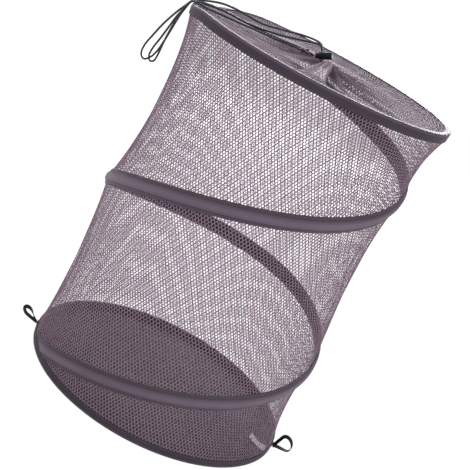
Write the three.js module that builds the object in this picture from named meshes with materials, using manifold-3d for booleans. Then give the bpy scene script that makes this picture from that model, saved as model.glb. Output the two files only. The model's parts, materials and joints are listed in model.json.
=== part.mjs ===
// Pop up laundry hamper: a mesh sleeve held open by two spring hoops and a spiral wire in a sewn casing, with
// a gathered lid, its drawstring and cord lock, and two elastic loops that hold it folded flat.
// Millimetres, Z up. The origin is the middle of the underside, and the photograph looks along +Y.
import * as THREE from "three";
import { mergeVertices } from "three/addons/utils/BufferGeometryUtils.js";
import Module from "manifold-3d";

const wasm = await Module();
wasm.setup();

// Overall sizes
const height = 520;
const topRadius = 180;
const baseFlare = 11;
const baseRadius = topRadius + baseFlare;

// Shared gaps, and how far a cutting solid runs past what it cuts
const clearance = 0.3;
const overrun = 1;

// Round pieces share one angular grid, so that layers lie on each other facet by facet
const gridSides = 60;
const gridAngle = (2 * Math.PI) / gridSides;
const weldDistance = 1e-5;

// Edge bindings: a folded tape with an upright leg outside the mesh and a flange over the floor or lid
const bindingThickness = 0.8;
const topBindingLeg = 13;
const baseBindingLeg = 11;
const topFlange = 7;
const baseFlange = 10;
const bindingChamfer = 0.5;

// Spring wire of the hoops and the spiral, and the crimp sleeve that joins each hoop's ends
const wireRadius = 0.9;
const wireSides = 6;
const ferruleWall = 0.5;
const ferruleLength = 16;
const hoopEndGap = 1;
const hoopJoinCell = 15;

// Fabrics
const meshThickness = 0.8;
const basePanelThickness = 1;

// The sprung sleeve stands a little out of true. Its top is slightly oval, with a dip at the left where the cords
// hang over it, and its middle bows to the left
const topPull = 9;
const topPinch = 5;
const topDip = 8;
const topDipAngle = THREE.MathUtils.degToRad(170);
const topDipReach = THREE.MathUtils.degToRad(45);
const topDipFlat = THREE.MathUtils.degToRad(15);
const topPower = 5;
const sleeveBow = 8.5;

// Spiral: two turns, rising to the right across the front, higher at the right-hand side and a little wavy
const spiralTurns = 2;
const spiralRunOut = 10.6;
const spiralOffset = 4.5;
const spiralLean = 20.5;
const spiralLeanAngle = THREE.MathUtils.degToRad(-16.5);
const spiralSway = 5.9;
const spiralSwayAngle = THREE.MathUtils.degToRad(98);
const casingWidth = 23;
const casingThickness = 3.3;
const casingEdgeThickness = 1;
const casingFabric = 0.45;
const spiralTipRadius = 1.6;
const spiralTipWall = 0.45;
const spiralTipLength = 8;
const spiralTipDepth = 5;

// The mesh is drawn in between its supports. The shares run from the bay under the first turn to the one over
// the last
const drawInDepth = 18;
const drawInShares = [0, 0.4, 0.33, 0.36, 0.94, 0.28, 0];

// The net of the side and lid is shown as a plain grid: each opening takes all but one cell of its pitch
const openingPitch = 3;
const wallOpenings = 5;
const wallBar = 10;
const rowsPerOpening = 2;

// Lid: a mesh disc gathered to its middle, with main folds that die out towards the rim and the hem
const lidThickness = 0.8;
const lidSag = 3.5;
const lidFoldHeight = 3.2;
const lidFoldReach = 120;
const lidFolds = 15;
const lidFoldShares = { second: 0.35, fifth: 0.2 };
const lidFoldStartShares = [-0.1, 0.25];
const lidMiddleShares = [0, 0.09];
const lidOpenings = 3;
const lidBarShare = 0.035;

// Drawstring, its gathered hem and the two strands that rise through the lock
const cordRadius = 1.3;
const cordSides = 8;
const gatherRadius = 6;
const gatherDrop = 2.4;
const hemWall = 0.6;
const hemSides = 8;
const hemSegments = 30;
const hemMouthWidth = 11.2;
const strandSpread = 1.6;
const strandTurnIn = 0.3;
const strandRunIn = 1.2;
const strandFoot = 0.4;
const strandBend = THREE.MathUtils.degToRad(46);
const gatherSteps = 18;
const strandRise = 1;
const gatherPathSteps = 54;
const tailSteps = 66;
const knotRadius = 3.1;
const knotSides = 10;
const knotRings = 6;

// Cord lock: a barrel that leans up to the right, and a sprung plunger that nips both strands
const lockTilt = THREE.MathUtils.degToRad(26);
const lockRadius = 5.3;
const lockWall = 1.1;
const lockLength = 17.5;
const lockFloor = 1.6;
const lockHoleFromMouth = 4;
const lockSeat = 2.8;
const lockOffset = 1.5;
const lockSides = 24;
const plungerGap = 0.25;
const plungerLength = 13.5;
const plungerHead = 4.5;
const plungerTravel = 3.5;
const plungerDome = 0.8;
const lockRim = 0.5;
const lockRimWidth = 1.6;
const slotGap = 0.3;
const slotCornerSteps = 3;
const springWireRadius = 0.22;
const springWireSides = 5;
const springRadius = 3;
const springTurns = 4;
const springTurnSteps = 8;

// Elastic loops at the foot of the hamper
const loopTape = 1.2;
const loopWidth = 6;
const loopLength = 20;
const loopEyeRadius = 8.5;
const loopRootRadius = 1.8;
const loopInnerRoot = 0.7;
const loopInnerStart = 7;
const loopHeight = 6.5;
const loopPitch = THREE.MathUtils.degToRad(24);
const rightLoopAngle = THREE.MathUtils.degToRad(-5);
const leftLoopAngle = THREE.MathUtils.degToRad(187);
const loopArcSteps = 10;
const tackThickness = 0.8;
const tackWidth = 9;
const tackHeight = 4.5;

// Blank tag, sewn into the base seam on the right and lying on the floor panel
const tagWidth = 15;
const tagLength = 28;
const tagThickness = 0.5;
const tagAngle = THREE.MathUtils.degToRad(-10.5);

// Materials
const fabric = (color, roughness = 0.85) => new THREE.MeshStandardMaterial({ color, roughness, metalness: 0 });
const mauveMesh = () => fabric(0x8b7d8b);
const mauveTape = () => fabric(0x5c515d, 0.7);
const mauveCloth = () => fabric(0x65586a, 0.75);
const blackCord = () => fabric(0x1d2322, 0.6);
const blackElastic = () => fabric(0x17171b, 0.8);
const paleTag = () => fabric(0xc9c5cc);
const blackPlastic = () => new THREE.MeshStandardMaterial({ color: 0x111113, roughness: 0.4, metalness: 0 });
const steel = () => new THREE.MeshStandardMaterial({ color: 0x9a9da2, roughness: 0.35, metalness: 0.9 });

const hamper = new THREE.Group();

function addPiece(name, geometry, material) {
  const mesh = new THREE.Mesh(faceOut(geometry), material);
  mesh.name = name;
  hamper.add(mesh);
  return mesh;
}

// A piece of the sleeve, which settles with it
function addSleevePiece(name, geometry, material) {
  addPiece(name, mapVertices(geometry, settled), material);
}

// Where a point of the true cone lies on the settled sleeve. The base stays true, and so does the top's middle
function settled(x, y, z) {
  const up = THREE.MathUtils.clamp(z / height, 0, 1);
  const upSleeve = THREE.MathUtils.clamp(z / (height - topBindingLeg), 0, 1);
  const out = Math.hypot(x, y) / topRadius;
  const oval = (up ** topPower * out) / topRadius;
  const bow = sleeveBow * Math.sin(Math.PI * upSleeve * upSleeve);
  const away = Math.acos(Math.cos(Math.atan2(y, x) - topDipAngle));
  const dip = topDip * up ** topPower * out * out * THREE.MathUtils.smoothstep(-away, -topDipReach, -topDipFlat);
  return [x * (1 + topPull * oval) - bow, y * (1 - topPinch * oval), z - dip];
}

// Moves every vertex of a geometry to place(x, y, z)
function mapVertices(geometry, place) {
  const position = geometry.attributes.position;
  for (let i = 0; i < position.count; i++) {
    position.setXYZ(i, ...place(position.getX(i), position.getY(i), position.getZ(i)));
  }
  return geometry;
}

// Plain closed mesh with merged vertices, turned round where its faces point inwards
function faceOut(geometry) {
  const plain = geometry.clone();
  for (const name of Object.keys(plain.attributes)) {
    if (name !== "position") plain.deleteAttribute(name);
  }
  const merged = mergeVertices(plain, weldDistance);
  const position = merged.attributes.position;
  const index = merged.index.array;
  const a = new THREE.Vector3();
  const b = new THREE.Vector3();
  const c = new THREE.Vector3();
  let volume = 0;
  for (let i = 0; i < index.length; i += 3) {
    a.fromBufferAttribute(position, index[i]);
    b.fromBufferAttribute(position, index[i + 1]);
    c.fromBufferAttribute(position, index[i + 2]);
    volume += a.dot(b.cross(c));
  }
  if (volume < 0) {
    for (let i = 0; i < index.length; i += 3) {
      [index[i + 1], index[i + 2]] = [index[i + 2], index[i + 1]];
    }
  }
  merged.computeVertexNormals();
  return merged;
}

function toSolid(geometry) {
  const closed = faceOut(geometry);
  return new wasm.Manifold(
    new wasm.Mesh({
      numProp: 3,
      vertProperties: new Float32Array(closed.attributes.position.array),
      triVerts: new Uint32Array(closed.index.array),
    }),
  );
}

function fromSolid(solid) {
  const { vertProperties, triVerts } = solid.getMesh();
  const geometry = new THREE.BufferGeometry();
  geometry.setAttribute("position", new THREE.BufferAttribute(new Float32Array(vertProperties), 3));
  geometry.setIndex(new THREE.BufferAttribute(new Uint32Array(triVerts), 1));
  return geometry;
}

// The first geometry with all the others cut away
function cut(geometry, ...tools) {
  return fromSolid(tools.reduce((solid, tool) => solid.subtract(toSolid(tool)), toSolid(geometry)));
}

// Outer surface of the hamper at a height: the bindings, mesh and casing are placed inwards or outwards from it
function supportRadius(z) {
  return THREE.MathUtils.lerp(baseRadius, topRadius, z / height);
}

// A point on the angular grid, straight between grid lines. A cell is one step of the grid, counted from +X
function gridPoint(cell, radius) {
  const low = Math.floor(cell);
  const share = cell - low;
  const from = low * gridAngle;
  const to = from + gridAngle;
  return [
    radius * ((1 - share) * Math.cos(from) + share * Math.cos(to)),
    radius * ((1 - share) * Math.sin(from) + share * Math.sin(to)),
  ];
}

// Full ring of a closed outline, given as [distance inwards from the outer surface, height]
function ring(outline) {
  const points = outline.map(([inwards, z]) => new THREE.Vector2(supportRadius(z) - inwards, z));
  points.push(points[0].clone());
  return new THREE.LatheGeometry(points, gridSides).rotateX(Math.PI / 2);
}

// A regular outline round a middle, as a shape for sweeping
function roundOutline(radius, sides, [middleX, middleY] = [0, 0]) {
  const points = [];
  for (let i = 0; i < sides; i++) {
    const angle = ((i + 0.5) / sides) * 2 * Math.PI;
    points.push(new THREE.Vector2(middleX + radius * Math.cos(angle), middleY + radius * Math.sin(angle)));
  }
  return points;
}

// Carries a flat outline through a list of stations: place(station, outwards, upwards) gives each point
function sweep(outline, stations, place, hole) {
  const shape = new THREE.Shape(outline);
  if (hole) shape.holes.push(new THREE.Path(hole));
  const spans = stations.length - 1;
  const straight = new THREE.ExtrudeGeometry(shape, { depth: spans, steps: spans, bevelEnabled: false });
  return mapVertices(straight, (x, y, z) => place(stations[Math.round(z)], x, y));
}

// Stations between two places on the grid, with every grid line between them
function gridStations(from, to) {
  const stations = [from];
  for (let cell = Math.floor(from) + 1; cell < to; cell++) stations.push(cell);
  stations.push(to);
  return stations;
}

// Lengths along the grid at a radius, in cells
const cellsFor = (length, radius) => length / (radius * gridAngle);

// Corner of each binding: the wire's middle lies this far in from the outer surface and from the end face
const ferruleBore = wireRadius + clearance;
const ferruleRadius = ferruleBore + ferruleWall;
const cornerInset = bindingThickness + clearance + ferruleRadius;
const seamInset = cornerInset + ferruleRadius + clearance;
const wallInset = bindingThickness + clearance;

function addBinding(name, leg, flange, fromEnd) {
  const outline = [
    [0, bindingChamfer],
    [bindingChamfer, 0],
    [flange, 0],
    [flange, bindingThickness],
    [bindingThickness, bindingThickness],
    [bindingThickness, leg],
    [0, leg],
  ];
  addSleevePiece(name, ring(outline.map(([inwards, z]) => [inwards, fromEnd(z)])), mauveTape());
}

// A hoop of spring wire, open by a small gap that its crimp sleeve covers
function addHoop(name, z) {
  const radius = supportRadius(z) - cornerInset;
  const middle = hoopJoinCell + 0.5;
  const halfGap = cellsFor(hoopEndGap, radius) / 2;
  const halfSleeve = cellsFor(ferruleLength, radius) / 2;
  const place = (cell, outwards, upwards) => [...gridPoint(cell, radius + outwards), z + upwards];
  const wire = sweep(
    roundOutline(wireRadius, wireSides),
    gridStations(middle + halfGap, middle + gridSides - halfGap),
    place,
  );
  addSleevePiece(`${name}_hoop_wire`, wire, steel());
  const sleeve = sweep(
    roundOutline(ferruleRadius, wireSides),
    [middle - halfSleeve, middle + halfSleeve],
    place,
    roundOutline(ferruleBore, wireSides),
  );
  addSleevePiece(`${name}_hoop_ferrule`, sleeve, steel());
}

// Height of the spiral's centreline at an angle. Angle zero is +X and a whole turn adds two pi
function spiralHeight(angle) {
  const rise = (height + spiralRunOut) / spiralTurns;
  const lean = spiralLean * Math.cos(angle - spiralLeanAngle);
  const sway = spiralSway * Math.cos(2 * angle - spiralSwayAngle);
  return height / 2 + spiralOffset + rise * (angle / (2 * Math.PI) - 0.5) + lean + sway;
}

// The casing stops where it would meet the bindings
const casingHalf = casingWidth / 2;
const spiralFoot = baseBindingLeg + casingHalf + clearance;
const spiralHead = height - topBindingLeg - casingHalf - clearance;
const firstCell = firstCellAbove(spiralFoot);
const lastCell = firstCellAbove(spiralHead) - 1;

function firstCellAbove(z) {
  let cell = -gridSides / 2;
  while (spiralHeight(cell * gridAngle) < z) cell++;
  return cell;
}

// A point in the casing: outwards from its inner face, upwards from its centreline
function spiralPoint(cell, outwards, upwards) {
  const low = Math.floor(cell);
  const from = spiralHeight(low * gridAngle);
  const to = spiralHeight((low + 1) * gridAngle);
  const z = THREE.MathUtils.lerp(from, to, cell - low) + upwards;
  const radius = supportRadius(z) - wallInset + clearance + outwards;
  return [...gridPoint(cell, radius), z];
}

function addSpiral() {
  const middle = casingThickness / 2;
  const cavity = middle - casingFabric;
  const tipCells = cellsFor(spiralTipLength, baseRadius);
  const gapCells = cellsFor(clearance, baseRadius);
  const wireOut = cellsFor(spiralTipDepth - clearance, baseRadius) - gapCells;
  const outline = [
    [0, -casingHalf],
    [casingEdgeThickness, -casingHalf],
    [casingThickness, -cavity],
    [casingThickness, cavity],
    [casingEdgeThickness, casingHalf],
    [0, casingHalf],
  ].map(([x, y]) => new THREE.Vector2(x, y));
  const casing = sweep(
    outline,
    gridStations(firstCell, lastCell),
    spiralPoint,
    roundOutline(cavity, wireSides, [middle, 0]),
  );
  addSleevePiece("spiral_casing", casing, mauveTape());

  const wire = sweep(
    roundOutline(wireRadius, wireSides, [middle, 0]),
    gridStations(firstCell - gapCells - wireOut, lastCell + gapCells + wireOut),
    spiralPoint,
  );
  addSleevePiece("spiral_wire", wire, steel());

  const ends = { spiral_lower_tip: [firstCell, -1], spiral_upper_tip: [lastCell, 1] };
  for (const [name, [cell, away]] of Object.entries(ends)) {
    const mouth = cell + away * gapCells;
    const bottom = mouth + away * cellsFor(spiralTipDepth, baseRadius);
    const end = mouth + away * tipCells;
    const inOrder = (from, to) => (from < to ? [from, to] : [to, from]);
    const cap = sweep(roundOutline(spiralTipRadius, wireSides, [middle, 0]), inOrder(mouth, end), spiralPoint);
    const bore = sweep(
      roundOutline(spiralTipRadius - spiralTipWall, wireSides, [middle, 0]),
      inOrder(mouth - away * gapCells * 2, bottom),
      spiralPoint,
    );
    addSleevePiece(name, cut(cap, bore), blackPlastic());
  }
}

// How far the mesh is drawn in at an angle and height. Each bay lies between one pass of the spiral and the next
function drawIn(angle, z) {
  const turns = angle / (2 * Math.PI);
  const passes = [turns - 1, turns, turns + 1, turns + 2];
  const edges = passes.map((pass) => spiralHeight(pass * 2 * Math.PI));
  const bay = Math.max(0, edges.findIndex((edge) => edge > z) - 1);
  const low = Math.max(edges[bay] + casingHalf, baseBindingLeg);
  const high = Math.min(edges[bay + 1] - casingHalf, height - topBindingLeg);
  if (z <= low || z >= high) return 0;
  const share = (z - low) / (high - low);
  return drawInDepth * bayShare(passes[bay]) * 4 * share * (1 - share);
}

// Share of the draw-in for the bay above a pass, counted in turns from the left of the foot
function bayShare(pass) {
  const place = THREE.MathUtils.clamp((pass + 1.5) * 2, 0, drawInShares.length - 1);
  const low = Math.min(Math.floor(place), drawInShares.length - 2);
  const share = THREE.MathUtils.smoothstep(place - low, 0, 1);
  return THREE.MathUtils.lerp(drawInShares[low], drawInShares[low + 1], share);
}

// A closed sheet on the angular grid, with openings. place(cell, row, under) gives a point of either face
function gridSheet(rows, isOpen, place) {
  const positions = [];
  const addQuad = (...corners) => {
    for (const i of [0, 1, 2, 0, 2, 3]) positions.push(...place(...corners[i]));
  };
  const closed = (cell, row) => row >= 0 && row < rows && !isOpen(cell, row);
  for (let cell = 0; cell < gridSides; cell++) {
    for (let row = 0; row < rows; row++) {
      if (!closed(cell, row)) continue;
      const next = cell + 1;
      const above = row + 1;
      addQuad([cell, row, false], [next, row, false], [next, above, false], [cell, above, false]);
      addQuad([cell, row, true], [cell, above, true], [next, above, true], [next, row, true]);
      if (!closed(cell, row - 1)) {
        addQuad([cell, row, true], [next, row, true], [next, row, false], [cell, row, false]);
      }
      if (!closed(cell, above)) {
        addQuad([cell, above, false], [next, above, false], [next, above, true], [cell, above, true]);
      }
      if (!closed((cell + gridSides - 1) % gridSides, row)) {
        addQuad([cell, row, true], [cell, row, false], [cell, above, false], [cell, above, true]);
      }
      if (!closed(next % gridSides, row)) {
        addQuad([next, row, false], [next, row, true], [next, above, true], [next, above, false]);
      }
    }
  }
  const geometry = new THREE.BufferGeometry();
  geometry.setAttribute("position", new THREE.Float32BufferAttribute(positions, 3));
  return geometry;
}

// Row lines of a sheet: a bar, then openings in turn with bars
function openingRows(from, to, openings, bar, rowsEach) {
  const lines = [from];
  const pitch = (to - from - bar) / openings;
  for (let opening = 0; opening < openings; opening++) {
    const start = from + bar + opening * pitch;
    for (let row = 0; row <= rowsEach; row++) {
      lines.push(THREE.MathUtils.lerp(start, start + pitch - bar, row / rowsEach));
    }
  }
  lines.push(to);
  return lines;
}

// Whether a row of such lines belongs to an opening, and a cell to its width
const inOpening = (cell, row, rowsEach) => row % (rowsEach + 1) !== 0 && cell % openingPitch !== 0;

function addWall() {
  const lines = openingRows(seamInset, height - seamInset, wallOpenings, wallBar, rowsPerOpening);
  const isOpen = (cell, row) => inOpening(cell, row, rowsPerOpening);
  const sleeve = gridSheet(lines.length - 1, isOpen, (cell, row, under) => {
    const z = lines[row];
    const [x, y] = gridPoint(cell % gridSides, supportRadius(z) - wallInset - (under ? meshThickness : 0));
    const radius = Math.hypot(x, y);
    let angle = Math.atan2(y, x);
    if (angle > Math.PI - gridAngle / 2) angle -= 2 * Math.PI;
    const share = (radius - drawIn(angle, z)) / radius;
    return [x * share, y * share, z];
  });
  addSleevePiece("side_mesh", sleeve, mauveMesh());
}

// Height of the lid's upper face: a slack disc with folds that gather to the hem
const hemRadius = cordRadius + clearance + hemWall;
const hemHeight = height - gatherDrop;
const lidInner = gatherRadius + hemRadius + clearance;
const lidOuter = supportRadius(height) - seamInset;
const lidRim = height - bindingThickness - clearance;

function lidTop(angle, radius) {
  const out = THREE.MathUtils.clamp((radius - lidInner) / (lidOuter - lidInner), 0, 1);
  const slack = lidSag * Math.sin(Math.PI * out);
  const fade = THREE.MathUtils.smoothstep(lidInner + lidFoldReach - radius, 0, lidFoldReach);
  const [from, to] = lidFoldStartShares;
  const near = THREE.MathUtils.smoothstep(radius - lidInner, from * lidFoldReach, to * lidFoldReach);
  const uneven =
    1 + lidFoldShares.second * Math.cos(2 * angle + 1) + lidFoldShares.fifth * Math.cos(5 * angle);
  const fold = lidFoldHeight * fade * near * uneven * Math.cos(lidFolds * angle);
  return THREE.MathUtils.lerp(hemHeight, lidRim, Math.sqrt(out)) - slack + fold;
}

function addLid() {
  const middleRows = lidMiddleShares.length - 1;
  const from = lidMiddleShares.at(-1);
  const outer = openingRows(from, 1, lidOpenings, lidBarShare, 1);
  const lines = [...lidMiddleShares.slice(0, -1), ...outer];
  const isOpen = (cell, row) => row >= middleRows && inOpening(cell, row - middleRows, 1);
  const lid = gridSheet(lines.length - 1, isOpen, (cell, row, under) => {
    const radius = THREE.MathUtils.lerp(lidInner, lidOuter, lines[row]);
    const [x, y] = gridPoint(cell % gridSides, radius);
    return [x, y, lidTop(Math.atan2(y, x), radius) - (under ? lidThickness : 0)];
  });
  addSleevePiece("lid_mesh", lid, mauveMesh());
}

function addBasePanel() {
  const radius = supportRadius(0) - seamInset;
  const disc = new THREE.CylinderGeometry(radius, radius, basePanelThickness, gridSides).rotateX(Math.PI / 2);
  disc.translate(0, 0, bindingThickness + clearance + basePanelThickness / 2);
  addPiece("base_panel", disc, mauveCloth());
}

// The hem is a sewn tunnel round the drawstring, open above where both strands come out
function addHem() {
  const tunnel = new THREE.TorusGeometry(gatherRadius, hemRadius, hemSides, hemSegments);
  const bore = new THREE.TorusGeometry(gatherRadius, hemRadius - hemWall, hemSides, hemSegments);
  const reach = hemRadius + overrun;
  const mouth = new THREE.BoxGeometry(2 * reach, hemMouthWidth, reach);
  mouth.translate(-gatherRadius, 0, reach / 2);
  const hem = cut(tunnel, bore, mouth).translate(0, 0, hemHeight);
  addPiece("drawstring_hem", hem, mauveCloth());
}

// Where the strands cross the lock's axis
const lockHeight = hemHeight + hemRadius + lockSeat + lockRadius;
const lockAcross = -gatherRadius - lockOffset;

// A point on a strand where it runs square through the lock
function strandPoint(side, up) {
  const x = lockAcross - up * Math.sin(lockTilt);
  return new THREE.Vector3(x, side * strandSpread, lockHeight + up * Math.cos(lockTilt));
}

// A cord along a smooth line through its points
function cord(points, steps) {
  const path = new THREE.CatmullRomCurve3(points, false, "centripetal");
  const shape = new THREE.Shape(roundOutline(cordRadius, cordSides));
  return new THREE.ExtrudeGeometry(shape, { extrudePath: path, steps, bevelEnabled: false });
}

// The drawn-up turn: down through the lock, once round inside the hem, and up through the lock again
function addGatheredTurn() {
  const through = [lockRadius + strandRise, 0, -lockRadius, -lockRadius - strandRunIn];
  const down = through.map((up) => strandPoint(1, up));
  down.push(new THREE.Vector3(strandFoot - gatherRadius, strandSpread + strandTurnIn, hemHeight + hemRadius));
  const round = [];
  for (let i = 0; i <= gatherSteps; i++) {
    const angle = Math.PI - strandBend - (i / gatherSteps) * 2 * (Math.PI - strandBend);
    round.push(new THREE.Vector3(gatherRadius * Math.cos(angle), gatherRadius * Math.sin(angle), hemHeight));
  }
  const up = down.map((point) => new THREE.Vector3(point.x, -point.y, point.z)).reverse();
  addPiece("drawstring_gathered_turn", cord([...down, ...round, ...up], gatherPathSteps), blackCord());
}

// Free tails: up out of the lock, over the lid and the left rim, down in a hanging loop and back to a knot
const rearTail = [
  [-10.4, 1.6, 533.8],
  [-12, 1.6, 537.1],
  [-14.4, 2.5, 540],
  [-20, 5.5, 541.4],
  [-30, 8, 540.8],
  [-47, 10, 538],
  [-74, 12, 531.7],
  [-95, 12, 527.5],
  [-118, 11, 527.6],
  [-140, 10.5, 528],
  [-157, 9.6, 526],
  [-170, 9, 522.2],
  [-181, 8.7, 518],
  [-190, 8.4, 514.4],
  [-195, 8.1, 508.6],
  [-198.6, 8, 502],
  [-205, 8, 490],
  [-215, 7, 466],
  [-221, 6, 446],
  [-225, 4, 430],
  [-224, 2, 418],
  [-218, 0, 413.5],
  [-211, -1, 419],
  [-206, -1, 430],
  [-203, 0, 448],
  [-201, 1, 468],
  [-199, 2, 488],
  [-196.6, 2.6, 500],
  [-194.4, 2.7, 508.4],
  [-190.4, 2.5, 514],
  [-182.5, 2, 516],
  [-171, 1.2, 517.8],
  [-158, 2.5, 519.4],
  [-140, 3, 520.4],
  [-118, 3, 519.8],
  [-96, 3, 519.6],
  [-75, 2.5, 520.8],
  [-56, 2, 522.3],
  [-42, 3, 523.6],
  [-31, 4.5, 523.8],
];
const frontTail = [
  [-10.4, -1.6, 533.8],
  [-12, -1.6, 537.1],
  [-14.3, -2.1, 539.2],
  [-18.5, -3, 539.8],
  [-27, -4, 538],
  [-43, -5, 533.5],
  [-62, -5, 528.5],
  [-82, -5, 524.6],
  [-101, -5, 521.8],
  [-120, -5, 520.5],
  [-140, -5, 520.8],
  [-156, -5, 519.8],
  [-170, -5, 517.8],
  [-182, -5.4, 515.6],
  [-190.8, -5.9, 514],
  [-194.4, -6.2, 507.6],
  [-196.6, -6.5, 500],
  [-200.5, -7, 488],
  [-204.5, -7, 468],
  [-208, -7, 450],
  [-211.5, -8, 434],
  [-211.5, -9, 422],
  [-207, -10, 417],
  [-202.5, -11, 420],
  [-201, -12, 432],
  [-201, -13, 450],
  [-200, -13, 470],
  [-198, -13, 490],
  [-196, -13, 500],
  [-194, -13, 507.6],
  [-190.2, -13, 513.4],
  [-182.5, -13.3, 514.8],
  [-171, -14.3, 514.4],
  [-155, -17, 515.8],
  [-136, -20, 517.4],
  [-112, -22, 519.2],
  [-88, -22, 521],
  [-66, -20, 522.2],
  [-49, -16, 523.4],
  [-36, -11, 524],
];

function addTail(name, route) {
  const points = route.map(([x, y, z]) => new THREE.Vector3(x, y, z));
  addPiece(`drawstring_${name}_tail`, cord(points, tailSteps), blackCord());
  const end = points.at(-1);
  const along = end.clone().sub(points.at(-2)).normalize();
  const knot = new THREE.SphereGeometry(knotRadius, knotSides, knotRings);
  const middle = end.clone().addScaledVector(along, knotRadius + clearance);
  addPiece(`drawstring_${name}_knot`, knot.translate(middle.x, middle.y, middle.z), blackCord());
}

// The cord lock is drawn along X from the strands, with its plunger to the left, and then leant and lifted
const boreRadius = lockRadius - lockWall;
const plungerRadius = boreRadius - plungerGap;
const lockMouth = -lockHoleFromMouth;
const slotLength = 2 * (cordRadius + slotGap);
const slotWidth = 2 * (strandSpread + cordRadius + slotGap);

// A closed round profile of [radius, place along X] turned about X
function turned(profile, sides) {
  const points = profile.map(([radius, along]) => new THREE.Vector2(radius, along));
  return new THREE.LatheGeometry(points, sides).rotateZ(-Math.PI / 2);
}

function addLockPiece(name, geometry, material) {
  addPiece(name, geometry.rotateY(-lockTilt).translate(lockAcross, 0, lockHeight), material);
}

// An upright slot through the lock, round at its sides
function strandSlot(fromX, toX) {
  const round = slotLength / 2;
  const half = slotWidth / 2;
  const shape = new THREE.Shape();
  shape.moveTo(toX, round - half);
  shape.lineTo(toX, half - round);
  shape.quadraticCurveTo(toX, half, toX - round, half);
  shape.lineTo(fromX + round, half);
  shape.quadraticCurveTo(fromX, half, fromX, half - round);
  shape.lineTo(fromX, round - half);
  shape.quadraticCurveTo(fromX, -half, fromX + round, -half);
  shape.lineTo(toX - round, -half);
  shape.quadraticCurveTo(toX, -half, toX, round - half);
  const depth = 2 * (lockRadius + lockRim + overrun);
  const slot = new THREE.ExtrudeGeometry(shape, { depth, bevelEnabled: false, curveSegments: slotCornerSteps });
  return slot.translate(0, 0, -depth / 2);
}

function addLock() {
  const end = lockMouth + lockLength;
  const barrel = turned(
    [
      [0, end],
      [lockRadius - lockRim, end],
      [lockRadius, end - lockRim],
      [lockRadius, end - lockRimWidth],
      [lockRadius - lockRim, end - lockRimWidth - lockRim],
      [lockRadius - lockRim, lockMouth + lockRimWidth + lockRim],
      [lockRadius, lockMouth + lockRimWidth],
      [lockRadius, lockMouth + lockRim],
      [lockRadius - lockRim, lockMouth],
      [boreRadius, lockMouth],
      [boreRadius, end - lockFloor],
      [0, end - lockFloor],
    ],
    lockSides,
  );
  const right = slotLength / 2;
  addLockPiece("cord_lock_barrel", cut(barrel, strandSlot(-right, right)), blackPlastic());

  const headEnd = lockMouth - plungerHead;
  const innerEnd = headEnd + plungerLength;
  const plunger = turned(
    [
      [0, headEnd],
      [plungerRadius - plungerDome, headEnd],
      [plungerRadius, headEnd + plungerDome],
      [plungerRadius, innerEnd],
      [0, innerEnd],
    ],
    lockSides,
  );
  const slot = strandSlot(-right - plungerTravel, right);
  addLockPiece("cord_lock_plunger", cut(plunger, slot), blackPlastic());
  addSpring(innerEnd + clearance + springWireRadius, end - lockFloor - clearance - springWireRadius);
}

// Coil spring between the plunger and the barrel's floor
function addSpring(from, to) {
  const points = [];
  const steps = springTurns * springTurnSteps;
  for (let i = 0; i <= steps; i++) {
    const angle = (i / springTurnSteps) * 2 * Math.PI;
    const x = THREE.MathUtils.lerp(from, to, i / steps);
    points.push(new THREE.Vector3(x, springRadius * Math.cos(angle), springRadius * Math.sin(angle)));
  }
  const path = new THREE.CatmullRomCurve3(points);
  const shape = new THREE.Shape(roundOutline(springWireRadius, springWireSides));
  const spring = new THREE.ExtrudeGeometry(shape, { extrudePath: path, steps, bevelEnabled: false });
  addLockPiece("cord_lock_spring", spring, steel());
  const gap = (to - from) / springTurns - 2 * springWireRadius;
  console.log(`least gap between the spring's turns: ${gap.toFixed(2)} mm`);
}

// Drop-shaped outline: straight sides from a small round root to a larger round eye
function dropOutline(rootRadius, rootX, eyeRadius, eyeX) {
  const spread = Math.acos((rootRadius - eyeRadius) / (eyeX - rootX));
  const points = [];
  const addArc = (middle, radius, from, to) => {
    for (let i = 0; i <= loopArcSteps; i++) {
      const angle = THREE.MathUtils.lerp(from, to, i / loopArcSteps);
      points.push(new THREE.Vector2(middle + radius * Math.cos(angle), radius * Math.sin(angle)));
    }
  };
  addArc(eyeX, eyeRadius, -spread, spread);
  addArc(rootX, rootRadius, spread, 2 * Math.PI - spread);
  return points;
}

const tackFace = supportRadius(loopHeight) + clearance;
const loopRoot = tackFace + tackThickness + clearance + loopRootRadius;

function addLoop(side, turn) {
  const shape = new THREE.Shape(dropOutline(loopRootRadius, 0, loopEyeRadius, loopLength));
  const inner = dropOutline(loopInnerRoot, loopInnerStart, loopEyeRadius - loopTape, loopLength);
  shape.holes.push(new THREE.Path(inner));
  const tape = new THREE.ExtrudeGeometry(shape, { depth: loopWidth, bevelEnabled: false });
  tape.translate(0, 0, -loopWidth / 2).rotateX(Math.PI / 2).rotateY(-loopPitch);
  tape.translate(loopRoot, 0, loopHeight).rotateZ(turn);
  addPiece(`${side}_elastic_loop`, tape, blackElastic());

  const tack = new THREE.BoxGeometry(tackThickness, tackWidth, tackHeight);
  tack.translate(tackFace + tackThickness / 2, 0, loopHeight).rotateZ(turn);
  addPiece(`${side}_loop_tack`, tack, blackElastic());
}

// The tag lies on the floor panel with its outer end in the base seam
function addTag() {
  const low = bindingThickness + basePanelThickness + 2 * clearance;
  const seam = supportRadius(0) - seamInset;
  const tag = new THREE.BoxGeometry(tagLength, tagWidth, tagThickness);
  tag.translate(seam - tagLength / 2, 0, low + tagThickness / 2).rotateZ(tagAngle);
  addPiece("blank_tag", tag, paleTag());
}

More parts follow.
